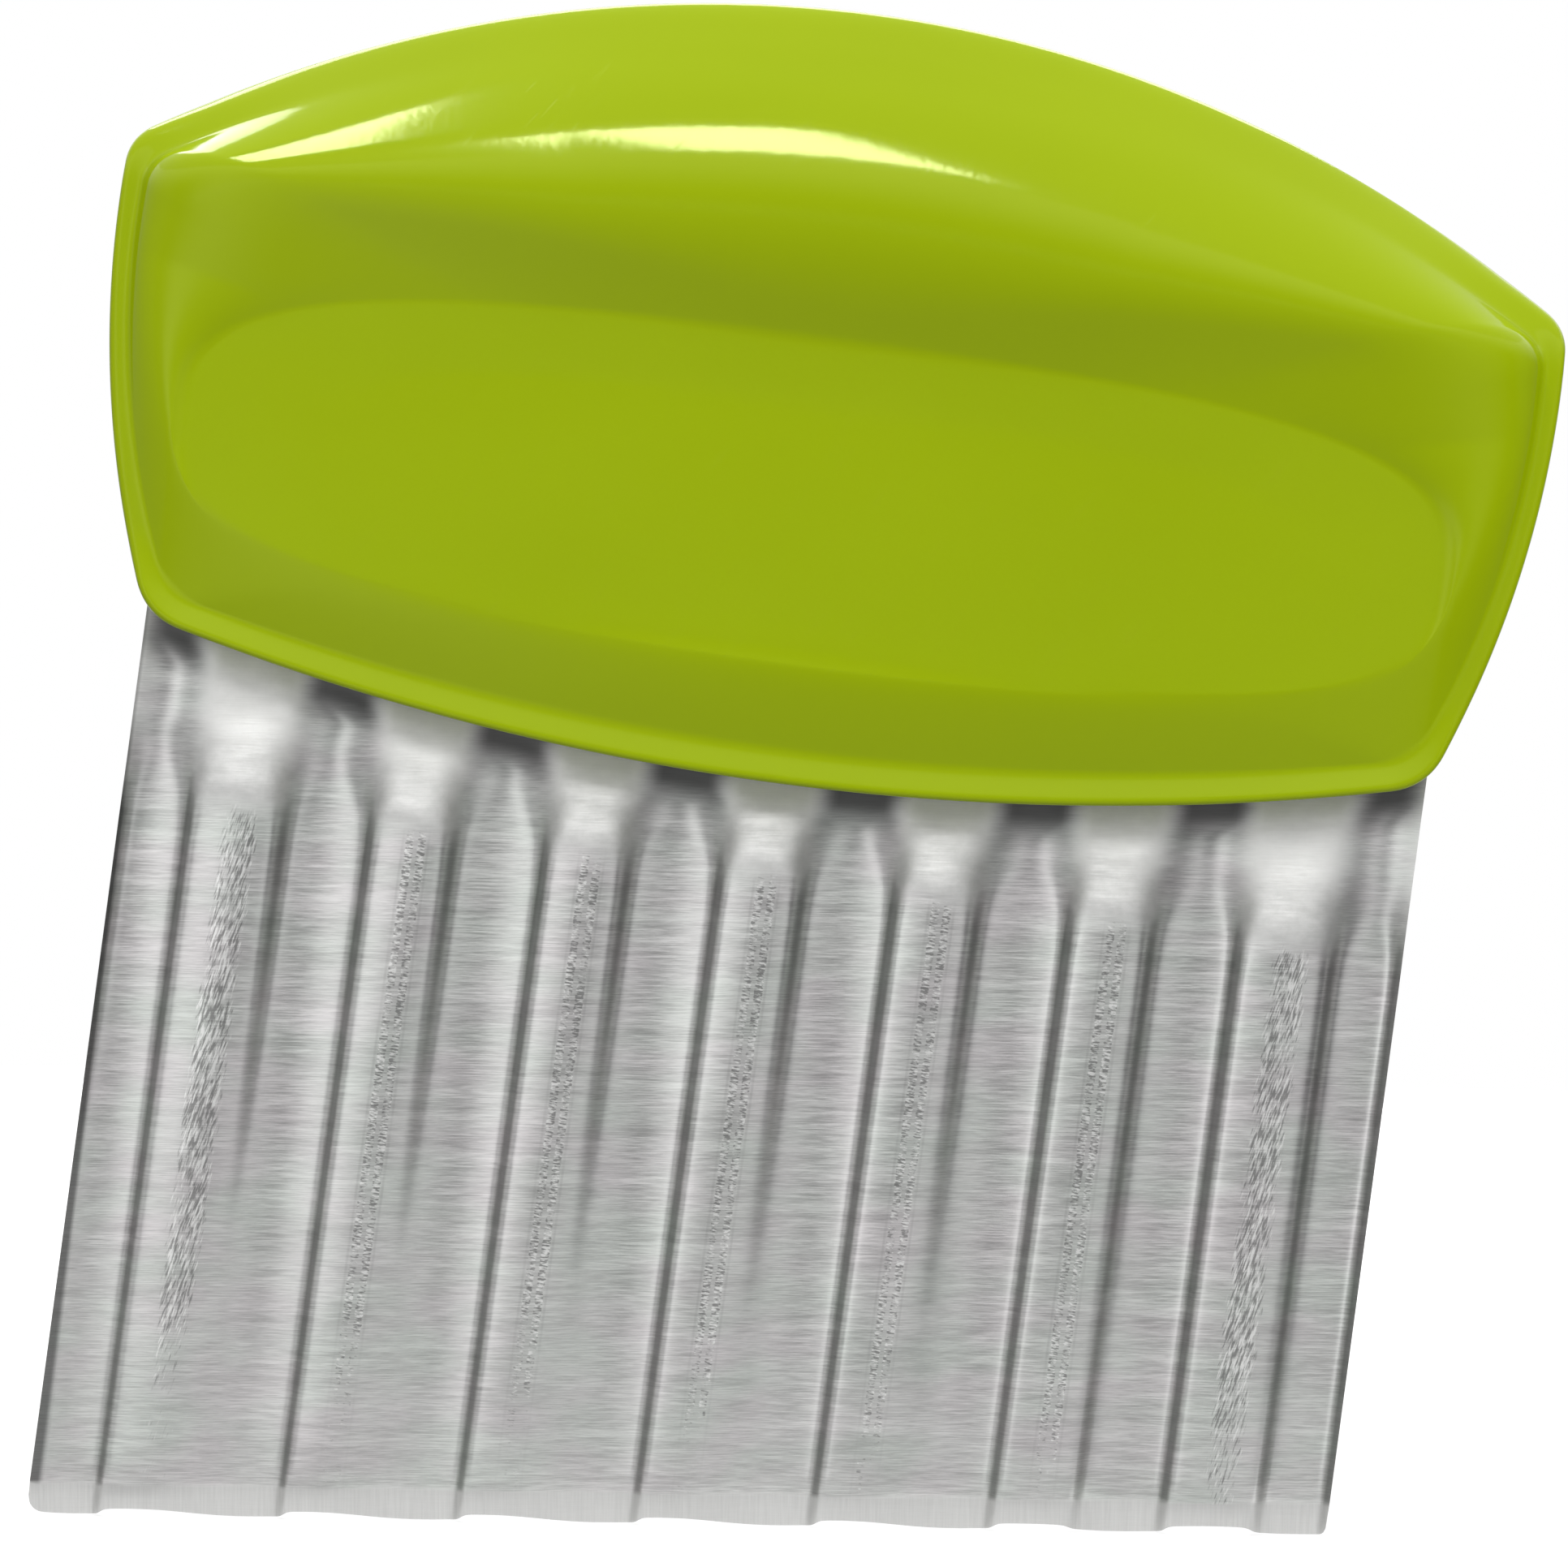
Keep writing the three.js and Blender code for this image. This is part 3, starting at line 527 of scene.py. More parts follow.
def wave(blade, x, heights, wider=0.0):
    """Height of the wave and its steepness: -1 in a valley and 1 on a ridge.

    A smooth step, tanh((x - wall) / run), at every wall, mixed with a share of the plain wave
    cos(2 pi x / pitch) that crowns the ridges and hollows the valleys. The walls are soft at the upper end,
    and towards the cutting edge the right walls of most ridges change into a step with a long run.
    """
    places, rising = ridge_walls(blade)
    hard = smooth(blade.soft_from, blade.soft_to, -heights)[..., None]
    end_run = np.where(rising > 0, blade.wall_run, blade.right_run)
    run = blade.soft_run * (end_run / blade.soft_run) ** hard
    within = 1 - smooth(blade.fading_reach - blade.pitch / 2, blade.fading_reach + blade.pitch / 2, x)
    faded = (within * smooth(0, blade.faded_share, way_down(blade, heights)))[..., None] * (rising < 0)
    past = x[..., None] - places + rising * wider
    step = np.tanh(past / run)
    long_step = np.tanh(past / blade.faded_run)
    mixed = step + (long_step - step) * faded
    sharp, gentle = (1 - step**2) / run, (1 - long_step**2) / blade.faded_run
    mixed_slope = sharp + (gentle - sharp) * faded
    turn = 2 * math.pi / blade.pitch
    height = (1 - blade.crown) * (1 + (rising * mixed).sum(-1)) + blade.crown * np.cos(turn * x)
    slope = (1 - blade.crown) * (rising * mixed_slope).sum(-1) - blade.crown * turn * np.sin(turn * x)
    return height, slope


def way_down(blade, heights):
    """Share of the way from the run-outs down to the cutting edge."""
    return np.clip((-blade.ridge_end - heights) / (blade.drop - blade.ridge_end), 0, 1)


def run_out(t, ease):
    """Height of a ridge's run-out at share t of its length: a straight rise from 0 to 1 with rounded ends."""
    t = np.clip(t, 0, 1)
    bottom = t**2 / (2 * ease * (1 - ease))
    top = 1 - (1 - t) ** 2 / (2 * ease * (1 - ease))
    straight = (t - ease / 2) / (1 - ease)
    return np.where(t < ease, bottom, np.where(t > 1 - ease, top, straight))


ACROSS = 470  # points across the blade
FINE_POINTS = 9001  # points across it on which their spacing is worked out
CROWDING = 3  # how much closer the points lie at a wall
CROWDED_RUNS = 3  # how far that reaches, in runs of a wall
RUN_OUT_ROWS = 40
BODY_ROWS = 30
BEVEL_ROWS = 6


def stations(blade):
    """Points across the blade, closer together at the walls."""
    places, _ = ridge_walls(blade)
    even = np.linspace(-blade.width / 2, blade.width / 2, FINE_POINTS)
    beside = (even[:, None] - places) / (CROWDED_RUNS * blade.wall_run)
    crowding = 1 + CROWDING * np.exp(-(beside**2)).sum(-1)
    travelled = np.concatenate([[0], np.cumsum(crowding[1:] + crowding[:-1])])
    return np.interp(np.linspace(0, travelled[-1], ACROSS), travelled, even)


def blade_levels(handle, blade, x):
    """Rows of heights down the sheet, the share of the bevel that each row has, and the handle's lower arc.

    The rows follow the handle's lower arc at the top and the slanted cutting edge at the bottom.
    """
    radius = (handle.bottom_half**2 + handle.bottom_rise**2) / (2 * handle.bottom_rise)
    lower_arc = radius - np.sqrt(radius**2 - x**2)
    corner = np.where(x < 0, blade.left_corner, blade.right_corner)
    into = np.maximum(0, np.abs(x) - (blade.width / 2 - corner))
    edge = x * math.tan(blade.slant) - blade.drop
    ridge, _ = wave(blade, x, edge)
    lowest = edge + blade.edge_wave / 2 * ridge + corner - np.sqrt(corner**2 - into**2)
    marks = [lower_arc + blade.valley_start, np.full_like(x, -blade.ridge_end), edge + blade.bevel, lowest]
    rows = []
    bevel = []
    for start, end, count in zip(marks[:-1], marks[1:], (RUN_OUT_ROWS, BODY_ROWS, BEVEL_ROWS)):
        for k in range(count):
            rows.append(start + (end - start) * k / count)
            bevel.append(k / count if count == BEVEL_ROWS else 0)
    return np.stack(rows + [lowest]), np.array(bevel + [1]), lower_arc


SHARP_ANGLE = math.radians(38)  # faces that meet at more than this have a sharp edge between them
WALL_SLOPES = (1.1, 2.4)  # the sheet begins to be a wall at the first steepness and is one at the second
ON_RIDGE = (0, 0.6)  # heights of the wave at which a ridge, a dome and a pocket's painted shade begin and are full
ON_DOME = (-0.6, 0.4)
IN_POCKET = (0.2, -0.6)
POCKET_REACH = (0.6 * MM, 4 * MM)  # the painted shade in the pockets under the handle's lip fades out between these
DOME_FADE = (-0.6 * MM, 0.8 * MM)  # the domes fade out between these, from the end of the run-outs
EDGE_SHADE_WIDTH = 0.25 * MM  # painted shade along the left side, this wide at the top
EDGE_SHADE_GAIN = 0.75 * MM  # how much wider the painted shade is at the cutting edge


def build_blade(material):
    """The corrugated sheet: depth = half the valley-to-ridge depth times the wave, before and behind.

    At the upper end the ridges swell over a straight run-out and the valleys over a shorter smooth step,
    and the walls are soft. Lower down the right walls of most ridges fade out. The numbers that the steel's
    look follows are kept with the mesh.
    """
    handle, blade, _ = settings()
    x = stations(blade)
    heights, bevel, lower_arc = blade_levels(handle, blade, x)
    across = np.broadcast_to(x, heights.shape)
    below = lower_arc - heights
    ridge_top = blade.ridge_follow * lower_arc - blade.ridge_start
    full = run_out((ridge_top - heights) / (ridge_top + blade.ridge_end), blade.run_out_ease)
    valley_full = smooth(-blade.valley_start, blade.valley_end, below)
    depth = blade.depth_above + (blade.depth_at_edge - blade.depth_above) * way_down(blade, heights)

    def face(side):
        """Depths of the front, side -1, or the rear, side 1, with the wave and its steepness."""
        ridge, steep = wave(blade, across, heights, -side * blade.bend)
        swell = depth * (valley_full + (full - valley_full) * (ridge + 1) / 2)
        return side * blade.sheet / 2 - swell / 2 * ridge, ridge, swell / 2 * steep

    front_depth, ridge, slope = face(-1)
    rear_depth, _, _ = face(1)
    front_depth = front_depth + (bevel * (blade.sheet - blade.land))[:, None]
    narrow = (blade.width / 2 - blade.tang_inset) / (blade.width / 2)
    tang = []
    for scale, height in ((narrow, blade.tang_top), (narrow, blade.tang_foot), (1, blade.shoulder)):
        front = np.stack([x * scale, np.full_like(x, -blade.sheet / 2), np.full_like(x, height)], -1)
        tang.append(np.concatenate([front, (front * [1, -1, 1])[::-1]]))
    front = np.stack([across, front_depth, heights], -1)
    rear = np.stack([across, rear_depth, heights], -1)
    loops = np.concatenate([np.stack(tang), np.concatenate([front, rear[:, ::-1]], axis=1)])
    rows, columns = loops.shape[:2]
    faces = grid_faces(rows, columns, flipped=True).tolist()
    strip = np.arange(ACROSS - 1)
    top = np.stack([strip, strip + 1, columns - 2 - strip, columns - 1 - strip], -1)
    foot = (top + (rows - 1) * columns)[:, ::-1]
    faces += top.tolist() + foot.tolist()
    piece = mesh_object("corrugated_blade", placed(loops).reshape(-1, 3), faces, material)
    piece.data.set_sharp_from_angle(angle=SHARP_ANGLE)
    nearest = np.round(x / blade.pitch) * blade.pitch
    blank = np.zeros((len(tang), ACROSS))

    def both_sides(values, rear=1):
        """Values of the front rows, with those of the rear in the order of the loop."""
        whole = np.concatenate([blank, np.broadcast_to(values, heights.shape)])
        return np.concatenate([whole, rear * whole[:, ::-1]], axis=1)

    # painted shade in the valleys just under the handle's lip
    pocket_shade_mask = smooth(*IN_POCKET, ridge) * (1 - smooth(*POCKET_REACH, below))
    dome_end = smooth(*DOME_FADE, -heights - blade.ridge_end)
    outer = (blade.ridges - 1.5) / 2 * blade.pitch
    # painted shade along the left edge, wider towards the cutting edge
    edge_shade_width = EDGE_SHADE_WIDTH + EDGE_SHADE_GAIN * way_down(blade, heights)
    # the wall, pocket and left edge attributes say where shade is painted into the steel's colour
    for name, values in (
        ("wall", both_sides(smooth(*WALL_SLOPES, np.abs(slope)))),
        ("on_ridge", both_sides(smooth(*ON_RIDGE, ridge))),
        ("pocket_shade", both_sides(pocket_shade_mask, rear=0)),
        ("ground", both_sides(np.where(bevel[:, None] > 0, 1, 0), rear=0)),
        ("dome", both_sides(smooth(*ON_DOME, ridge) * (1 - dome_end))),
        ("offset", both_sides((x - nearest) / MM)),
        ("below", both_sides(-heights / MM)),
        ("outer_ridge", both_sides(np.where(np.abs(x) > outer, 1, 0))),
        ("left_edge_shade", both_sides(1 - smooth(0.5, 1, (x + blade.width / 2) / edge_shade_width), rear=0)),
    ):
        add_attribute(piece, name, values)
    dressed(piece, "blade")


# Materials


class Nodes:
    """Short ways to add and join the nodes of a material or a world."""

    def __init__(self, owner, shader="Principled BSDF"):
        self.owner = owner
        self.owner.use_nodes = True
        self.tree = self.owner.node_tree
        self.shader = self.tree.nodes[shader]

    def feed(self, socket, value):
        """Joins an output to a socket, or writes a plain value on it."""
        if isinstance(value, bpy.types.NodeSocket):
            self.tree.links.new(value, socket)
        else:
            socket.default_value = value

    def add(self, kind, inputs=(), **choices):
        """Outputs of a new node, with a value or an output fed to each named or numbered input."""
        node = self.tree.nodes.new(kind)
        for name, value in choices.items():
            setattr(node, name, value)
        for place, value in dict(inputs).items():
            self.feed(node.inputs[place], value)
        return node.outputs

    def set(self, name, value):
        self.feed(self.shader.inputs[name], value)

    def math(self, operation, *values):
        return self.add("ShaderNodeMath", enumerate(values), operation=operation)[0]

    def times(self, first, *others):
        """Product of two or more values."""
        for other in others:
            first = self.math("MULTIPLY", first, other)
        return first

    def mix(self, factor, first, second, blend_type="MIX"):
        """Mixes two colours, each of them an output or three numbers."""
        inputs = {0: factor}
        for place, part in ((6, first), (7, second)):
            inputs[place] = part if isinstance(part, bpy.types.NodeSocket) else (*part, 1)
        return self.add("ShaderNodeMix", inputs, data_type="RGBA", blend_type=blend_type)[2]

    def between(self, value, low, high, start=0.0, end=1.0, kind="SMOOTHSTEP"):
        """Takes low to start and high to end, along a smooth step if no other kind is asked for."""
        inputs = enumerate((value, low, high, start, end))
        return self.add("ShaderNodeMapRange", inputs, interpolation_type=kind)[0]

    def attribute(self, name):
        return self.add("ShaderNodeAttribute", attribute_name=name)["Fac"]

    def place(self):
        """Object coordinates."""
        return self.add("ShaderNodeTexCoord")["Object"]

    def noise(self, size, turn=0.0, detail=2.0, roughness=0.5):
        """Noise on object coordinates; size is that of a feature, in millimetres along x, y and z."""
        inputs = {"Vector": self.place(), "Rotation": (0, turn, 0), "Scale": scaled(size, MM)}
        vector = self.add("ShaderNodeMapping", inputs, vector_type="TEXTURE")[0]
        inputs = {"Vector": vector, "Scale": 1.0, "Detail": detail, "Roughness": roughness}
        return self.add("ShaderNodeTexNoise", inputs)["Fac"]

    def bump(self, height, distance, strength):
        inputs = {"Strength": strength, "Distance": distance, "Height": height}
        return self.add("ShaderNodeBump", inputs)[0]


def scaled(base, factor):
    """The numbers of a colour or a size, all times a factor."""
    return [factor * part for part in base]


def lime_plastic(base):
    """Glossy lime plastic with faint flow marks, a fine orange peel and light scuffs."""
    nodes = Nodes(bpy.data.materials.new("lime_plastic"))
    flow = nodes.noise((34, 34, 17), detail=3)
    nodes.set("Base Color", nodes.mix(flow, scaled(base, 0.95), scaled(base, 1.05)))
    scuffs = nodes.between(nodes.noise((0.25, 4, 5), turn=0.7, detail=3), 0.64, 0.72)
    nodes.set("Roughness", nodes.between(nodes.math("ADD", flow, scuffs), 0.2, 1.7, 0.08, 0.21))
    nodes.set("Normal", nodes.bump(nodes.noise((0.7, 0.7, 0.7), detail=1), 0.02 * MM, 0.25))
    nodes.set("IOR", 1.45)
    nodes.set("Specular IOR Level", 0.38)
    nodes.set("Specular Tint", (0.95, 1.0, 0.5, 1.0))
    return nodes.owner


MARKS_BEGIN = (6, 8.5)  # press marks begin and fade out between these, in millimetres below the handle
MARKS_FADE = (38, 52)
MARKS_LEFT = 0.25  # share of the marks that is left at the cutting edge
MARKS_MIDDLE = 0.4  # the marks lie this far right of a ridge's middle, in millimetres
MARKS_HALF = (0.6, 1.8)  # they fade out between these on the outer ridges, from their middle
COLUMN_PLACE = 0.45  # on the other ridges they stand in two columns, this far from their middle
COLUMN_HALF = (0.2, 0.4)  # the columns fade out between these
RAIL_PLACE = 0.95  # two thin lines run this far from the marks' middle
RAIL_HALF = (0.04, 0.14)


def chatter(nodes):
    """Marks of the press on the ridges: slanted ones on the outer ridges, short level ones on the others.

    Noise stretched along the marks, kept to a band beside the ridge's middle that begins below the domes
    and fades out above the cutting edge. The second result is a pair of dark lines along the inner ridges.
    """
    offset, below = nodes.attribute("offset"), nodes.attribute("below")
    end = nodes.between(below, *MARKS_FADE, 1, MARKS_LEFT)
    reach = nodes.times(nodes.between(below, *MARKS_BEGIN), end, nodes.attribute("on_ridge"))
    patches = nodes.between(nodes.noise((1.2, 1.2, 2.4), detail=2), 0.36, 0.62, 0.6, 1.2)
    outer = nodes.attribute("outer_ridge")
    inner = nodes.math("SUBTRACT", 1.0, outer)
    beside = nodes.math("ABSOLUTE", nodes.math("SUBTRACT", offset, MARKS_MIDDLE))
    slanted = nodes.noise((1.0, 1.0, 0.14), turn=-1.25, detail=3)
    level = nodes.noise((0.5, 0.5, 0.13), turn=0.12, detail=2)
    column = nodes.math("ABSOLUTE", nodes.math("SUBTRACT", beside, COLUMN_PLACE))
    wide = nodes.times(nodes.between(beside, *MARKS_HALF, 1.3, 0), outer)
    narrow = nodes.times(nodes.between(column, *COLUMN_HALF, 1.2, 0), inner)
    marks = 0.0
    for band, pattern in ((wide, slanted), (narrow, level)):
        swing = nodes.math("SUBTRACT", pattern, 0.51)
        marks = nodes.math("ADD", nodes.times(band, reach, swing, patches), marks)
    away = nodes.math("ABSOLUTE", nodes.math("SUBTRACT", beside, RAIL_PLACE))
    rail = nodes.times(nodes.between(away, *RAIL_HALF, 1, 0), patches)
    return marks, nodes.times(reach, inner, rail)


LINES_DARK, LINES_LIGHT = 0.76, 1.2  # brushed lines, as shares of the steel's colour; so are those below
MARKS_DARK, MARKS_LIGHT = 0.35, 1.45
# the third lightens the domes just under the handle: a painted highlight where the handle's lip blocks their
# reflection
DOMES_DARK, DOMES_LIGHT, DOMES_PAINTED_LIGHT = 0.7, 0.8, 1.3
BAND_DARK, BAND_LIGHT = 0.8, 1.0
STEEL_ROUGHNESS = (0.28, 0.4)  # on the dark and the light lines
BAND_MATTE, DOMES_MATTE = 0.2, 0.3  # roughness added on the ground band and the domes


def brushed_steel(base):
    """Brushed stainless steel: lines along the edge, matte domes with a painted highlight just under the
    handle, walls darkened as painted shade and partly as darker pressed steel, painted shade in the pockets
    under the handle and along the left edge, a ground band and press marks.

    Each look is mixed over the ones before it, where the blade's own attribute or a noise says so.
    """
    nodes = Nodes(bpy.data.materials.new("brushed_steel"))

    def painted_shade_or_dull(under, mask, strength, shade):
        """A darker share of the steel's colour laid over what is under it: painted shade on the walls, the
        left edge and the pockets, and the dark rail lines.
        """
        return nodes.mix(nodes.times(mask, strength), under, scaled(base, shade))

    brush = nodes.noise((2.2, 2.2, 0.07), detail=3, roughness=0.7)
    streak = nodes.noise((14, 14, 0.9), detail=2)
    lines = nodes.math("ADD", nodes.times(brush, 0.75), nodes.times(streak, 0.25))
    bare = nodes.mix(nodes.between(lines, 0.3, 0.7), scaled(base, LINES_DARK), scaled(base, LINES_LIGHT))
    for size, tint in (((9, 9, 5), (0.96, 1.0, 0.97)), ((6, 6, 4), (1.0, 0.97, 0.99))):
        patches = nodes.between(nodes.noise(size, detail=1), 0.35, 0.65)
        bare = nodes.mix(patches, bare, tint, "MULTIPLY")
    marks, rail = chatter(nodes)
    bare = nodes.mix(nodes.between(marks, 0.03, 0.12, 0, 0.85), bare, scaled(base, MARKS_LIGHT))
    bare = nodes.mix(nodes.between(marks, -0.12, -0.03, 0.75, 0), bare, scaled(base, MARKS_DARK))
    bare = painted_shade_or_dull(bare, rail, 0.15, 0.4)
    # painted shade on the steep walls, standing in for their dark reflections, and partly darker pressed
    # steel
    bare = painted_shade_or_dull(bare, nodes.attribute("wall"), 0.55, 0.15)
    # painted shade along the left edge, standing in for the dark reflection where the sheet turns away
    bare = painted_shade_or_dull(bare, nodes.attribute("left_edge_shade"), 0.75, 0.1)
    dome = nodes.attribute("dome")
    mottle = nodes.noise((1.6, 1.6, 1.2), detail=4, roughness=0.65)
    pressed = nodes.mix(nodes.between(mottle, 0.3, 0.7), scaled(base, DOMES_DARK), scaled(base, DOMES_LIGHT))
    # painted highlight on the domes just under the handle's lip, where their reflection is blocked
    top = nodes.between(nodes.attribute("below"), 0.5, 4, 0.5, 0)
    pressed = nodes.mix(top, pressed, scaled(base, DOMES_PAINTED_LIGHT))
    bare = nodes.mix(dome, bare, pressed)
    # painted shade in the valleys just under the handle's lip, where the crevice is dark
    bare = painted_shade_or_dull(bare, nodes.attribute("pocket_shade"), 0.95, 0.08)
    ground = nodes.attribute("ground")
    fine = nodes.noise((0.12, 2, 4), detail=2)
    band = nodes.mix(fine, scaled(base, BAND_DARK), scaled(base, BAND_LIGHT))
    nodes.set("Base Color", nodes.mix(ground, bare, band))
    nodes.set("Metallic", 1.0)
    rough = nodes.between(lines, 0.3, 0.7, *STEEL_ROUGHNESS)
    matte = nodes.math("ADD", nodes.times(ground, BAND_MATTE), nodes.times(dome, DOMES_MATTE))
    nodes.set("Roughness", nodes.math("ADD", rough, matte))
    nodes.set("Normal", nodes.bump(lines, 0.015 * MM, 0.4))
    return nodes.owner


# Stage


def seen_directly(nodes):
    """1 for camera, glossy and transmission rays, which see the white background."""
    path = nodes.add("ShaderNodeLightPath")
    seen = nodes.math("MAXIMUM", path["Is Camera Ray"], path["Is Glossy Ray"])
    return nodes.math("MAXIMUM", seen, path["Is Transmission Ray"])


def white_world(ambient):
    """White where it is seen, and an even soft light on the object."""
    nodes = Nodes(bpy.data.worlds.new("white_studio"), "Background")
    nodes.set("Color", (1, 1, 1, 1))
    nodes.set("Strength", nodes.add("ShaderNodeMix", {0: seen_directly(nodes), 2: ambient, 3: 1.0})[0])
    bpy.context.scene.world = nodes.owner


FLOOR_COLOUR = (0.25, 0.25, 0.25, 1)
FLOOR_GLOW = (0.08, 0.3, 0.78, 1.0)  # two distances from the middle, and the glow at each
FLOOR_SIDES = 96


def white_floor(reach):
    """Round white floor that keeps a soft shadow near the cutter and is plain white farther away."""
    nodes = Nodes(bpy.data.materials.new("white_floor"))
    nodes.set("Base Color", FLOOR_COLOUR)
    nodes.set("Roughness", 0.9)
    nodes.set("Specular IOR Level", 0.0)
    nodes.set("Emission Color", (1, 1, 1, 1))
    distance = nodes.add("ShaderNodeVectorMath", {0: nodes.place()}, operation="LENGTH")["Value"]
    glow = nodes.between(distance, *FLOOR_GLOW, kind="LINEAR")
    nodes.set("Emission Strength", nodes.times(seen_directly(nodes), glow))
    turn = np.linspace(0, 2 * math.pi, FLOOR_SIDES, endpoint=False)
    points = np.stack([reach * np.cos(turn), reach * np.sin(turn), np.zeros_like(turn)], 1)
    mesh_object("floor", points, [list(range(FLOOR_SIDES))], nodes.owner)


CARD_ROWS, CARD_COLUMNS = 60, 180
CARD_HOLE = (65 * MM, 3 * MM)  # half length and half width of the hole that the cutter stands in
CARD_EYE = 55 * MM  # height from which the directions to the cards are measured
CARD_FRONT = 0.3  # brightness of the cards in front
CARD_GLOWS = ((1.0, -27, 14), (0.4, 33, 16))  # lighter cards: gain, middle and spread in degrees
CARD_LEFT, CARD_RIGHT = 0.5, 0.15  # brightness at the two sides, on the floor and at the upper edge
CARD_FLOOR = 0.7
CARD_TOP = 1.8
SIDE_DEGREES = (48, 66)  # where each of them takes over, in degrees to the side, down and up
FLOOR_DEGREES = (12, 40)
TOP_DEGREES = (8, 32)
CARD_LIFT = 1 * MM  # the cards begin this far above the floor


def grey_cards(stage):
    """Grey cards round the cutter that are seen only in its gloss, as in a studio for shiny things.

    A bowl, open above: out from the cutter by reach sin(t) and up by rise (1 - cos(t)), for t from 0 to a
    quarter turn. It is mid grey in front, lighter at the front left and right, darker at the right side,
    light on the floor, and it turns white towards its upper edge, where the white room begins.
    """
    t = np.linspace(0, math.pi / 2, CARD_ROWS)[:, None]
    turn = np.linspace(-math.pi, math.pi, CARD_COLUMNS, endpoint=False)[None, :]
    out = stage.bowl_reach * np.sin(t)
    up = stage.bowl_rise * (1 - np.cos(t)) + CARD_LIFT
    x = (CARD_HOLE[0] + out) * np.sin(turn)
    y = -(CARD_HOLE[1] + out) * np.cos(turn)
    z = up + 0 * turn
    azimuth = np.degrees(np.arctan2(x, np.abs(y)))
    elevation = np.degrees(np.arctan2(z - CARD_EYE, np.hypot(x, y)))
    level = np.full_like(azimuth, CARD_FRONT)
    for gain, middle, spread in CARD_GLOWS:
        level += gain * np.exp(-(((azimuth - middle) / spread) ** 2))
    level += (np.where(azimuth < 0, CARD_LEFT, CARD_RIGHT) - level) * smooth(*SIDE_DEGREES, np.abs(azimuth))
    level += (CARD_FLOOR - level) * smooth(*FLOOR_DEGREES, -elevation)
    level += (CARD_TOP - level) * smooth(*TOP_DEGREES, elevation)
    nodes = Nodes(bpy.data.materials.new("grey_cards"))
    nodes.tree.nodes.remove(nodes.shader)
    glow = nodes.add("ShaderNodeEmission", {"Strength": nodes.attribute("level")})[0]
    nodes.feed(nodes.tree.nodes["Material Output"].inputs["Surface"], glow)
    points = np.stack([x, y, z], -1).reshape(-1, 3)
    faces = grid_faces(CARD_ROWS, CARD_COLUMNS, flipped=False).tolist()
    cards = mesh_object("grey_cards", points, faces, nodes.owner)
    add_attribute(cards, "level", level)
    for kind in ("camera", "diffuse", "transmission", "volume_scatter", "shadow"):
        setattr(cards, "visible_" + kind, False)


# Lamps: name, place from the middle of the cutter, width and height, and turn in degrees
KEY_BOXES = (
    ("left_box", (-0.185, -0.285, 0.722), (0.3, 0.055), -56),
    ("right_box", (0.014, -0.572, 0.533), (0.135, 0.185), 18),
)
REAR_BOX = ("rear_box", (0, 0.36, 0.56), (0.6, 0.26), 0)
FILLS = (
    ("front_fill", (-0.1, -0.8, 0), (1.0, 0.1), 0),
    ("rear_fill", (0.1, 0.8, 0), (1.0, 0.1), 0),
    ("right_fill", (0.6, -0.12, 0.05), (0.3, 0.2), 0),
)


def soft_box(radiance, name, place, size, spin):
    """Soft box at a place from the middle of the cutter, which it shines on, turned by spin in its plane."""
    lamp = bpy.data.lights.new(name, "AREA")
    lamp.shape = "RECTANGLE"
    lamp.size, lamp.size_y = size
    lamp.energy = radiance * math.pi * size[0] * size[1]
    thing = linked(name, lamp)
    low, high = (Vector(corner) for corner in CAD_BOX)
    thing.location = (low + high) / 2 + Vector(place)
    turned = Vector(place).to_track_quat("Z", "Y") @ Quaternion((0, 0, 1), math.radians(spin))
    thing.rotation_euler = turned.to_euler()
    thing.visible_camera = False
    return thing


def add_camera(stage):
    """Camera straight in front, rolled a little, with the view's width set at the middle of the sheet."""
    camera = bpy.data.cameras.new("camera")
    camera.lens = camera.sensor_width * stage.distance / stage.view_width
    camera.clip_start = 0.01
    thing = linked("camera", camera)
    aim = placed(np.array([stage.aim_x, 0, stage.aim_z]))
    upright = Matrix.Rotation(math.pi / 2, 4, "X") @ Matrix.Rotation(stage.roll, 4, "Z")
    thing.matrix_world = Matrix.Translation((aim[0], -stage.distance, aim[2])) @ upright
    bpy.context.scene.camera = thing


# Add-on


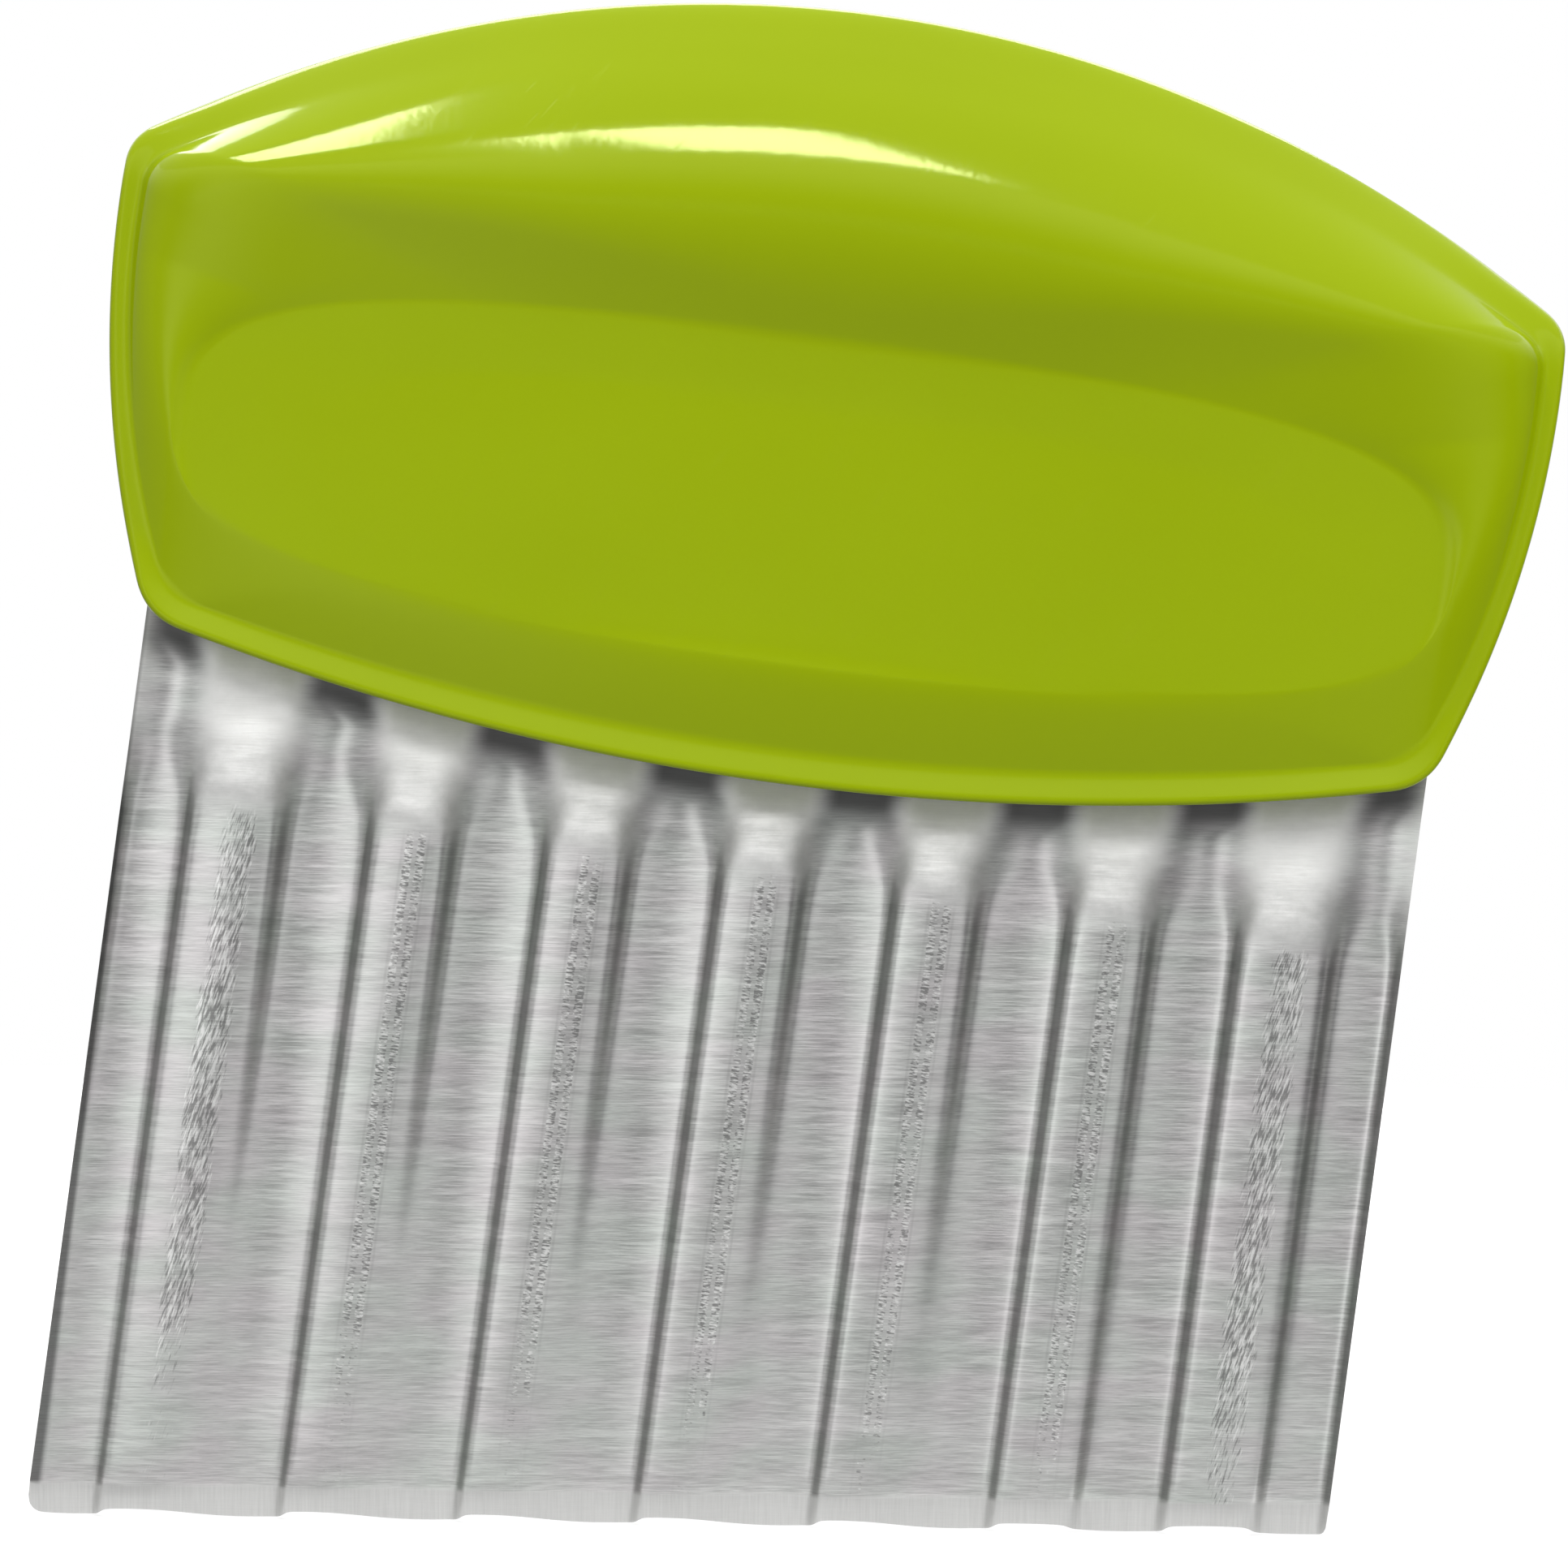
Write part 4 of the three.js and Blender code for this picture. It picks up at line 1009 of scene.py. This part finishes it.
class CUTTER_OT_handle(Operator):
    """Build the two moulded halves of the handle"""

    bl_idname = "cutter.handle"
    bl_label = "Handle halves"

    def execute(self, context):
        plastic = lime_plastic(list(context.scene.cutter_handle.plastic))
        build_shell("front_half", "front_shell", -1, plastic)
        build_shell("rear_half", "rear_shell", 1, plastic)
        return {"FINISHED"}


class CUTTER_OT_blade(Operator):
    """Build the corrugated blade"""

    bl_idname = "cutter.blade"
    bl_label = "Corrugated blade"

    def execute(self, context):
        build_blade(brushed_steel(list(context.scene.cutter_blade.steel)))
        return {"FINISHED"}


class CUTTER_OT_stage(Operator):
    """Set up the floor, the light and the camera"""

    bl_idname = "cutter.stage"
    bl_label = "Stage"

    def execute(self, context):
        stage = context.scene.cutter_stage
        context.scene.view_settings.view_transform = "Standard"
        white_world(stage.ambient)
        white_floor(stage.floor_reach)
        grey_cards(stage)
        for box in KEY_BOXES:
            soft_box(stage.brightness, *box)
        soft_box(stage.rear_light, *REAR_BOX)
        for box in FILLS:
            soft_box(stage.fill_light, *box).visible_glossy = False
        add_camera(stage)
        return {"FINISHED"}


class CUTTER_PT_sidebar(Panel):
    """Builders and settings in the sidebar"""

    bl_label = "Crinkle cutter"
    bl_space_type = "VIEW_3D"
    bl_region_type = "UI"
    bl_category = "Crinkle cutter"

    def draw(self, context):
        for builder in BUILDERS:
            self.layout.operator(builder.bl_idname)
        for group in settings():
            box = self.layout.box()
            for name in group.__annotations__:
                box.prop(group, name)


BUILDERS = (CUTTER_OT_handle, CUTTER_OT_blade, CUTTER_OT_stage)
CLASSES = (*SETTINGS.values(), *BUILDERS, CUTTER_PT_sidebar)


def register():
    for item in CLASSES:
        bpy.utils.register_class(item)
    for name, group in SETTINGS.items():
        setattr(bpy.types.Scene, name, PointerProperty(type=group))


def unregister():
    for name in SETTINGS:
        delattr(bpy.types.Scene, name)
    for item in reversed(CLASSES):
        bpy.utils.unregister_class(item)


def main():
    """Builds the cutter and its stage."""
    register()
    bpy.ops.cutter.handle()
    bpy.ops.cutter.blade()
    bpy.ops.cutter.stage()


if __name__ == "__main__":
    main()
